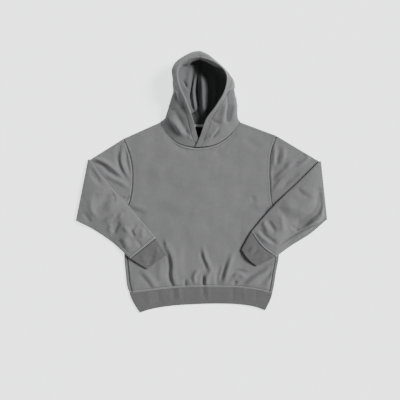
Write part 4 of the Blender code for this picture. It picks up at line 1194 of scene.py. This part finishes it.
def hood_side(side):
    """Outer cloth with its turned band inside the rim, and the lining behind the band."""
    grid = hood_grid(side, DENSE_ROW, HOOD_ROWS)
    lift = HOOD_GAIN * creases(grid[..., 0], grid[..., 1], HOOD_CREASES[side])
    lift = lift + ripple(grid[..., 0], grid[..., 1], 48.0, 0.7, 41 + side)
    lift = lift * (grid[..., 2] > 9.0) * blend(9.0, 22.0, grid[..., 2])
    normals = outward_normals(grid, side)
    lengths = run_lengths(grid, 1)
    total = lengths[:, -1:]
    lift = lift * blend(0.0, 14.0, total - lengths) * blend(0.0, 0.06, HOOD_ROWS)[:, None]
    lift = lift * blend(1.0, 0.95, HOOD_ROWS)[:, None]
    lifted = grid + normals * (lift * blend(0.0, 10.0, lengths))[..., None]
    lifted[:, -1, 0] = grid[:, -1, 0]
    hung = lining_line(grid, side)
    hung_normals = outward_normals(hung, side)

    # lining, from behind the band to the centre seam
    hung_total = run_lengths(hung, 1)[:, -1:]
    shares = fine_ends(np.linspace(0.0, 1.0, 112), 260.0)[None]
    far = BAND + 0.3 + (hung_total - BAND - 0.3) * shares
    middle = along_rows(hung, hung - hung_normals * (SEAM / 2 + HOOD_LINING / 2), far)
    facing = along_rows(hung, hung_normals, far)
    facing /= np.linalg.norm(facing, axis=2)[..., None]
    first, gap = run_lengths(middle, 0), nearest_edge(middle)
    weave = np.stack([run_lengths(middle, 1), first], axis=2)
    word = SIDE_WORD[side]
    lining = shell(f"hood_lining_{word}_cloth", middle, -facing, HOOD_LINING, gap, weave,
                   seam_marks(gap, first), 1 - side)

    # band inside the rim, the turn of the rim, and the outside
    inside = np.linspace(BAND, 0.0, 15)[None] + 0 * total
    band = along_rows(hung, hung - hung_normals * (SEAM / 2 + HOOD_OUTER / 2 + 0.25), inside)
    near = np.array((0.0, 0.7, 1.6, 3.0, 5.0))[None]
    shares = np.linspace(0.0, 1.0, 116)[None]
    out = np.concatenate([near + 0 * total, 8.0 + (total - 8.0) * shares], axis=1)
    outside = along_rows(grid, lifted + normals * (SEAM / 2 + HOOD_OUTER / 2), out)
    start, end = band[:, -1], outside[:, 0]
    leave = start - band[:, -2]
    leave /= np.linalg.norm(leave, axis=1)[:, None]
    arrive = outside[:, 1] - end
    arrive /= np.linalg.norm(arrive, axis=1)[:, None]
    apart = np.linalg.norm(end - start, axis=1)[:, None]
    turns = []
    for t in (0.14, 0.3, 0.5, 0.7, 0.86):
        turns.append(
            (2 * t**3 - 3 * t**2 + 1) * start + (t**3 - 2 * t**2 + t) * leave * apart * 2.2
            + (3 * t**2 - 2 * t**3) * end + (t**3 - t**2) * arrive * apart * 2.2
        )
    middle = np.concatenate([band, np.stack(turns, axis=1), outside], axis=1)
    across = np.gradient(middle, axis=1)
    upward = np.gradient(middle, axis=0)
    facing = np.cross(across, upward) * SIDE_SIGN[side]
    facing[:, -1, 0] = 0.0
    facing[-1, :, 0] = 0.0
    facing /= np.maximum(np.linalg.norm(facing, axis=2), 1e-9)[..., None]
    outer_part = np.arange(middle.shape[1]) >= band.shape[1] + 5
    seam_run = np.gradient(middle[0], axis=0)
    level = np.stack([-seam_run[:, 1], seam_run[:, 0], np.zeros(len(seam_run))], axis=1)
    level /= np.maximum(np.linalg.norm(level, axis=1), 1e-9)[:, None]
    facing[0, outer_part] -= (level * (facing[0] * level).sum(axis=1)[:, None])[outer_part]
    facing /= np.maximum(np.linalg.norm(facing, axis=2), 1e-9)[..., None]
    first, last, inner_edge, seam = edge_gaps(middle)
    gap = np.minimum(np.minimum(first, last), np.minimum(inner_edge, seam))
    rim_gap = np.abs(inner_edge - inner_edge[:, band.shape[1] + 2][:, None])
    pinch = np.exp(-(((rim_gap - BAND_STITCH) / 2.0) ** 2)) * outer_part[None]
    pinch = pinch * blend(0.0, 0.04, HOOD_ROWS)[:, None] * blend(1.0, 0.96, HOOD_ROWS)[:, None]
    middle = middle - facing * (1.5 * pinch)[..., None]
    # painted shadow along the neck seam, reaching twice as far as at other edges, and a painted shade line
    # along the band's stitching
    painted_gap_shade = np.minimum(gap, np.where(outer_part[None], 0.5 * first, UNSTITCHED))
    painted_gap_shade = np.minimum(painted_gap_shade, 0.3 + 0.8 * np.abs(rim_gap - BAND_STITCH + 0.6))
    stitched = np.minimum(np.minimum(3.2 + np.abs(rim_gap - BAND_STITCH), 5.0),
                          np.where(outer_part[None], first, UNSTITCHED))
    run = np.where(first < 12.0, seam, first)
    weave = np.stack([inner_edge, first], axis=2)
    outer = shell(f"hood_outer_{word}_cloth", middle, facing, HOOD_OUTER, gap, weave,
                  seam_marks(painted_gap_shade, run, stitched), side)
    return outer, lining


def neck_tape():
    """Tape laid over the back neck seam, inside the hood."""
    x = np.linspace(-96.0, 86.0, 60)
    seam = top_y(x, True)
    steps = np.array((-4.5, -4.2, -3.6, -1.5, 0.5, 2.5, 4.4, 4.8, 5.0))
    grid = np.stack([np.stack([x, seam + step, np.full_like(x, 4.5)], axis=1) for step in steps])
    gaps, edge = edge_gaps(grid), nearest_edge(grid)
    half = np.zeros_like(grid)
    half[..., 2] = rounded(edge, 0.8)
    weave = np.stack([gaps[2], gaps[0]], axis=2)
    return cloth_piece("neck_tape_cloth", grid + half, grid - half, weave,
                       seam_marks(np.full(edge.shape, UNSTITCHED), gaps[2], 2.2 + edge))


def neck_label():
    """Bare woven label that hangs from the tape on the inside of the back panel."""
    wide, deep = 58.0, 52.5
    x = fine_ends(np.linspace(0.0, 1.0, 40), wide) * wide - 34.0
    y = fine_ends(np.linspace(0.0, 1.0, 36), deep) * deep + 150.0
    grid_x, grid_y = np.meshgrid(x, y)
    curl = 0.5 * blend(158.0, 150.0, grid_y) + ripple(grid_x, grid_y, 40.0, 0.12, 61)
    grid = np.stack([grid_x, grid_y, 2.85 + curl], axis=2)
    edge = nearest_edge(grid)
    half = np.zeros_like(grid)
    half[..., 2] = rounded(edge, 0.7)
    weave = np.stack([grid_x, grid_y], axis=2)
    return cloth_piece("neck_label_cloth", grid + half, grid - half, weave,
                       seam_marks(np.full(edge.shape, UNSTITCHED), grid_x))


# ---------------------------------------------------------------- finishes

# Metres from a seam to its two rows of stitches and to the end of the turned allowance.
STITCH_ROWS = (0.0032, 0.0068)
STITCH_PITCH = 0.0031
WELT_AT = 0.0094


class Finish:
    """A material with short calls for its nodes."""

    def __init__(self, name, roughness, sheen=0.0):
        self.material = bpy.data.materials.new(name)
        self.material.use_nodes = True
        self.nodes = self.material.node_tree.nodes
        self.links = self.material.node_tree.links
        self.shader = self.nodes["Principled BSDF"]
        self.shader.inputs["Roughness"].default_value = roughness
        self.shader.inputs["Sheen Weight"].default_value = sheen
        self.shader.inputs["Sheen Roughness"].default_value = 0.55
        self.shader.inputs["Specular IOR Level"].default_value = 0.25
        coordinates = self.nodes.new("ShaderNodeTexCoord")
        self.space = coordinates.outputs["Object"]
        self.grain = self.nodes.new("ShaderNodeUVMap")
        self.grain.uv_map = "weave"
        self.weave = self.grain.outputs["UV"]

    def put(self, socket, value):
        """Set a socket to a number, or link it to another node."""
        if isinstance(value, (int, float)):
            socket.default_value = value
        else:
            self.links.new(value, socket)

    def sum(self, operation, first, second=0.0, third=None):
        """Result of a math node."""
        node = self.nodes.new("ShaderNodeMath")
        node.operation = operation
        self.put(node.inputs[0], first)
        self.put(node.inputs[1], second)
        if third is not None:
            self.put(node.inputs[2], third)
        return node.outputs[0]

    def times(self, first, second):
        """Product of two values."""
        return self.sum("MULTIPLY", first, second)

    def vary(self, strength, value, share):
        """Strength made uneven, up and down by that share, as the value goes."""
        return self.times(strength, self.spread(value, 0.2, 0.8, 1.0 - share, 1.0 + share, False))

    def spread(self, value, low, high, to_low, to_high, soft=True):
        """Value moved from one range to another."""
        node = self.nodes.new("ShaderNodeMapRange")
        node.interpolation_type = "SMOOTHSTEP" if soft else "LINEAR"
        self.put(node.inputs["Value"], value)
        for socket, number in zip(("From Min", "From Max", "To Min", "To Max"), (low, high, to_low, to_high)):
            node.inputs[socket].default_value = number
        return node.outputs["Result"]

    def noise(self, space, scale, detail=2.0, rough=0.5, stretch=(1.0, 1.0, 1.0)):
        """Noise in the object's space or along the grain."""
        mapping = self.nodes.new("ShaderNodeMapping")
        mapping.inputs["Scale"].default_value = [scale * s for s in stretch]
        self.links.new(space, mapping.inputs["Vector"])
        node = self.nodes.new("ShaderNodeTexNoise")
        node.inputs["Scale"].default_value = 1.0
        node.inputs["Detail"].default_value = detail
        node.inputs["Roughness"].default_value = rough
        self.links.new(mapping.outputs["Vector"], node.inputs["Vector"])
        return node.outputs["Fac"]

    def mark(self, name):
        """A value stored at the points of the cloth."""
        node = self.nodes.new("ShaderNodeAttribute")
        node.attribute_name = name
        return node.outputs["Fac"]

    def axes(self, vector):
        """The three parts of a vector."""
        node = self.nodes.new("ShaderNodeSeparateXYZ")
        self.links.new(vector, node.inputs[0])
        return node.outputs

    def colour(self, base, strength):
        """Base colour times a grey strength read from the nodes."""
        node = self.nodes.new("ShaderNodeMix")
        node.data_type = "RGBA"
        node.blend_type = "MULTIPLY"
        node.inputs["Factor"].default_value = 1.0
        node.inputs[6].default_value = (*base, 1.0)
        self.links.new(strength, node.inputs[7])
        self.links.new(node.outputs[2], self.shader.inputs["Base Color"])

    def relief(self, height, distance):
        """Bump from a height read from the nodes."""
        node = self.nodes.new("ShaderNodeBump")
        node.inputs["Distance"].default_value = distance
        self.links.new(height, node.inputs["Height"])
        self.links.new(node.outputs["Normal"], self.shader.inputs["Normal"])

    def roughen(self, value):
        """Roughness read from the nodes."""
        self.links.new(value, self.shader.inputs["Roughness"])

    def painted_welt_shade(self, depth):
        """Painted soft shade past the second stitch row, where the turned allowance ends."""
        aside = self.sum("ABSOLUTE", self.sum("SUBTRACT", self.mark("stitch_gap"), WELT_AT))
        return self.spread(aside, 0.0004, 0.0026, 1.0 - depth, 1.0)

    def stitches(self):
        """Two rows of lockstitch beside each stitched seam, as a mask from 0 to 1."""
        gap, run = self.mark("stitch_gap"), self.mark("stitch_run")
        rows = 0.0
        for at in STITCH_ROWS:
            aside = self.sum("ABSOLUTE", self.sum("SUBTRACT", gap, at))
            rows = self.sum("MAXIMUM", rows, self.spread(aside, 0.0004, 0.0012, 1.0, 0.0))
        dash = self.sum("SINE", self.times(run, math.tau / STITCH_PITCH))
        return self.times(rows, self.spread(dash, -0.85, -0.2, 0.25, 1.0))


def fleece_finish(name, base, painted_seam_shade=0.36, mottle=0.06, stitch=0.85):
    """Brushed cotton fleece: faint knit columns, nap, uneven dye and stitched seams, with painted shade
    darkening the cloth beside every seam and past the turned allowance.
    """
    cloth = Finish(name, 0.94, 0.22)
    u, v, _ = cloth.axes(cloth.weave)
    cloud = cloth.noise(cloth.space, 22.0, 3.0, 0.55)
    blotch = cloth.noise(cloth.space, 85.0, 2.0, 0.5)
    fibre = cloth.noise(cloth.weave, 900.0, 3.0, 0.7, (1.0, 0.45, 1.0))
    nap = cloth.noise(cloth.weave, 2600.0, 2.0, 0.6, (1.0, 0.6, 1.0))
    wales = cloth.sum("SINE", cloth.sum("MULTIPLY", u, math.tau / 0.00125))
    courses = cloth.times(v, math.tau / 0.0011)
    slant = cloth.sum("MULTIPLY_ADD", cloth.sum("ABSOLUTE", wales), 1.4, courses)
    loops = cloth.sum("MULTIPLY_ADD", cloth.sum("SINE", slant), 0.35, cloth.sum("MULTIPLY", wales, 0.3))
    stitched = cloth.stitches()
    strength = cloth.spread(cloud, 0.25, 0.75, 1.0 - mottle, 1.0 + mottle, False)
    for value, share in ((blotch, mottle * 0.6), (fibre, 0.07), (nap, 0.08)):
        strength = cloth.vary(strength, value, share)
    strength = cloth.times(strength, cloth.spread(loops, -0.6, 0.6, 0.965, 1.03, False))
    # painted shade: the colour is darkened close to every seam, standing in for the shade in its groove
    seam = cloth.spread(cloth.mark("painted_shade_gap"), 0.0002, 0.0026, painted_seam_shade, 1.0)
    strength = cloth.times(strength, seam)
    strength = cloth.times(strength, cloth.spread(stitched, 0.0, 1.0, 1.0, 1.0 + stitch, False))
    strength = cloth.times(strength, cloth.painted_welt_shade(0.3))
    cloth.colour(base, strength)
    height = cloth.sum("MULTIPLY_ADD", fibre, 0.8, cloth.sum("MULTIPLY_ADD", nap, 0.5, loops))
    height = cloth.sum("MULTIPLY_ADD", stitched, 2.2, height)
    cloth.relief(height, 0.00022)
    cloth.roughen(cloth.spread(fibre, 0.2, 0.8, 0.9, 0.99, False))
    return cloth.material


def rib_finish(name, base):
    """Two by two rib knit: raised columns, with painted shade darkening the valleys between them and the
    cloth beside its seams.
    """
    cloth = Finish(name, 0.92, 0.15)
    u, v, _ = cloth.axes(cloth.weave)
    cloud = cloth.noise(cloth.space, 24.0, 3.0, 0.55)
    fibre = cloth.noise(cloth.weave, 1100.0, 3.0, 0.7, (1.0, 0.4, 1.0))
    sway = cloth.noise(cloth.weave, 30.0, 1.0, 0.5, (0.4, 1.0, 1.0))
    place = cloth.sum("MULTIPLY_ADD", sway, 0.0016, u)
    columns = cloth.sum("SINE", cloth.sum("MULTIPLY", place, math.tau / 0.0036))
    loops = cloth.sum("SINE", cloth.sum("MULTIPLY", v, math.tau / 0.0014))
    raised = cloth.spread(columns, -0.9, 0.6, 0.0, 1.0)
    # painted shade: the valleys between the raised columns are darkened in the colour
    strength = cloth.spread(raised, 0.0, 1.0, 0.72, 1.06, False)
    for value, share in ((cloud, 0.05), (fibre, 0.09)):
        strength = cloth.vary(strength, value, share)
    # painted shade beside the seams
    strength = cloth.times(strength, cloth.spread(cloth.mark("painted_shade_gap"), 0.0002, 0.0024, 0.6, 1.0))
    cloth.colour(base, strength)
    height = cloth.sum("MULTIPLY_ADD", loops, 0.08, cloth.times(fibre, 0.3))
    height = cloth.sum("MULTIPLY_ADD", raised, 1.0, height)
    cloth.relief(height, 0.0006)
    cloth.roughen(cloth.spread(fibre, 0.2, 0.8, 0.88, 0.98, False))
    return cloth.material


def woven_finish(name, base, pitch, contrast):
    """Plain woven tape or label: crossing threads with a soft lustre."""
    cloth = Finish(name, 0.7, 0.1)
    u, v, _ = cloth.axes(cloth.weave)
    over = cloth.sum("SINE", cloth.sum("MULTIPLY", u, math.tau / pitch))
    under = cloth.sum("SINE", cloth.sum("MULTIPLY", v, math.tau / (pitch * 0.8)))
    threads = cloth.sum("MULTIPLY", over, under)
    fibre = cloth.noise(cloth.weave, 1500.0, 3.0, 0.7)
    strength = cloth.spread(threads, -1.0, 1.0, 1.0 - contrast, 1.0 + contrast, False)
    strength = cloth.times(strength, cloth.spread(fibre, 0.2, 0.8, 0.88, 1.1, False))
    stitched = cloth.stitches()
    strength = cloth.times(strength, cloth.spread(stitched, 0.0, 1.0, 1.0, 0.8, False))
    cloth.colour(base, strength)
    cloth.relief(cloth.sum("MULTIPLY_ADD", fibre, 0.5, threads), 0.00012)
    cloth.roughen(cloth.spread(fibre, 0.2, 0.8, 0.6, 0.82, False))
    return cloth.material


def floor_finish():
    """Pale board with faint streaks and a painted glow that lightens the shadows cast on it; the glow is left
    off as painted shade under the hood's open centre seam.
    """
    board = Finish("pale_floor", 0.85)
    streak = board.noise(board.space, 9.0, 5.0, 0.65, (1.0, 0.16, 1.0))
    fine = board.noise(board.space, 70.0, 4.0, 0.6, (1.0, 0.3, 1.0))
    strength = board.spread(streak, 0.3, 0.7, 0.965, 1.01, False)
    strength = board.times(strength, board.spread(fine, 0.25, 0.75, 0.97, 1.02, False))
    board.colour(FLOOR_TONE, strength)
    board.relief(fine, 0.0008)
    board.shader.inputs["Emission Color"].default_value = (0.97, 1.0, 0.99, 1.0)
    x, y, _ = board.axes(board.space)
    behind = board.times(board.sum("SUBTRACT", y, PAINTED_SHADE_CENTRE_Y), PAINTED_SHADE_NARROWING)
    aside = board.sum("SQRT", board.sum("MULTIPLY_ADD", x, x, board.times(behind, behind)))
    # painted glow: the floor gives off light of its own, which lightens the shadows cast on it; inside the
    # ellipse it is left off as painted shade
    glow = board.spread(aside, *PAINTED_SHADE_EDGE, 0.0, PAINTED_FLOOR_GLOW)
    board.put(board.shader.inputs["Emission Strength"], glow)
    return board.material


FLEECE_TONE = (0.178, 0.179, 0.182)
# The lining is the same fleece; its darker tone is painted shade for the inside of the hood.
SHADED_LINING_TONE = (0.118, 0.120, 0.124)
RIB_TONE = (0.138, 0.138, 0.139)
TAPE_TONE = (0.78, 0.78, 0.76)
LABEL_TONE = (0.017, 0.017, 0.018)
FLOOR_TONE = (0.9, 0.91, 0.905)
# Strength of the floor's painted glow.
PAINTED_FLOOR_GLOW = 1.8

# Ellipse of painted shade on the floor in metres, where the glow is left off under the hood's centre seam:
# its middle, width over length, and where the glow comes back.
PAINTED_SHADE_CENTRE_Y = 0.327
PAINTED_SHADE_NARROWING = 0.34
PAINTED_SHADE_EDGE = (0.048, 0.055)


def dress(piece, node, material):
    """Gives a cloth piece its finish and hides the part of model.glb that it stands for."""
    piece.data.materials.append(material)
    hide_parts(node)


fleece = fleece_finish("fleece_grey", FLEECE_TONE)
shaded_lining_cloth = fleece_finish("hood_lining_painted_shade_grey", SHADED_LINING_TONE)
rib = rib_finish("rib_knit_grey", RIB_TONE)
tape = woven_finish("neck_tape_white", TAPE_TONE, 0.0011, 0.1)
label = woven_finish("label_black", LABEL_TONE, 0.0008, 0.25)

back = back_panel()
dress(back, "back_panel", fleece)
front = front_panel()
dress(front, "front_panel", fleece)
hem = hem_rib()
dress(hem, "hem_rib", rib)
for wearer_side, word in ((0, "right"), (1, "left")):
    arm = sleeve(wearer_side)
    dress(arm, f"sleeve_{word}", fleece)
    end = cuff(wearer_side)
    dress(end, f"cuff_{word}", rib)
    outer, lining = hood_side(wearer_side)
    dress(outer, f"hood_outer_{word}", fleece)
    dress(lining, f"hood_lining_{word}", shaded_lining_cloth)
tape_piece = neck_tape()
dress(tape_piece, "neck_tape", tape)
label_piece = neck_label()
dress(label_piece, "neck_label", label)


# ---------------------------------------------------------------- floor, light and camera

def plain_floor():
    """Wide pale floor under the garment."""
    bpy.ops.object.select_all(action="DESELECT")
    bpy.ops.mesh.primitive_plane_add(size=12.0, location=(0.0, 0.0, FLOOR_Z))
    floor = bpy.context.object
    floor.name = "floor"
    bpy.ops.object.transform_apply(location=True, rotation=True, scale=True)
    floor.data.materials.append(floor_finish())


def window_light(name, toward, strength, softness):
    """Broad light from one side, even over the whole floor."""
    lamp = bpy.data.lights.new(name, "SUN")
    lamp.energy = strength
    lamp.angle = math.radians(softness)
    thing = bpy.data.objects.new(name, lamp)
    thing.rotation_euler = Vector(toward).to_track_quat("Z", "Y").to_euler()
    bpy.context.scene.collection.objects.link(thing)


def sky(horizon, zenith):
    """Soft light that comes mostly from the sides of the room."""
    world = bpy.data.worlds.new("room")
    world.use_nodes = True
    bpy.context.scene.world = world
    nodes, links = world.node_tree.nodes, world.node_tree.links
    where = nodes.new("ShaderNodeTexCoord")
    axes = nodes.new("ShaderNodeSeparateXYZ")
    links.new(where.outputs["Generated"], axes.inputs[0])
    ramp = nodes.new("ShaderNodeValToRGB")
    links.new(axes.outputs["Z"], ramp.inputs["Fac"])
    ramp.color_ramp.elements[0].position = 0.15
    ramp.color_ramp.elements[0].color = (horizon, horizon, horizon, 1.0)
    ramp.color_ramp.elements[1].position = 0.85
    ramp.color_ramp.elements[1].color = (zenith, zenith, zenith, 1.0)
    links.new(ramp.outputs["Color"], nodes["Background"].inputs["Color"])


FLOOR_Z = -0.0004
VIEW_FROM = (-0.0057, -0.0596, 2.0)

plain_floor()
window_light("key", (1.0, 0.36, 0.92), 4.6, 20.0)
sky(0.7, 0.12)

lens = bpy.data.cameras.new("camera")
lens.lens = 49.45
lens.sensor_width = 36.0
camera = bpy.data.objects.new("camera", lens)
camera.location = VIEW_FROM
bpy.context.scene.collection.objects.link(camera)
bpy.context.scene.camera = camera
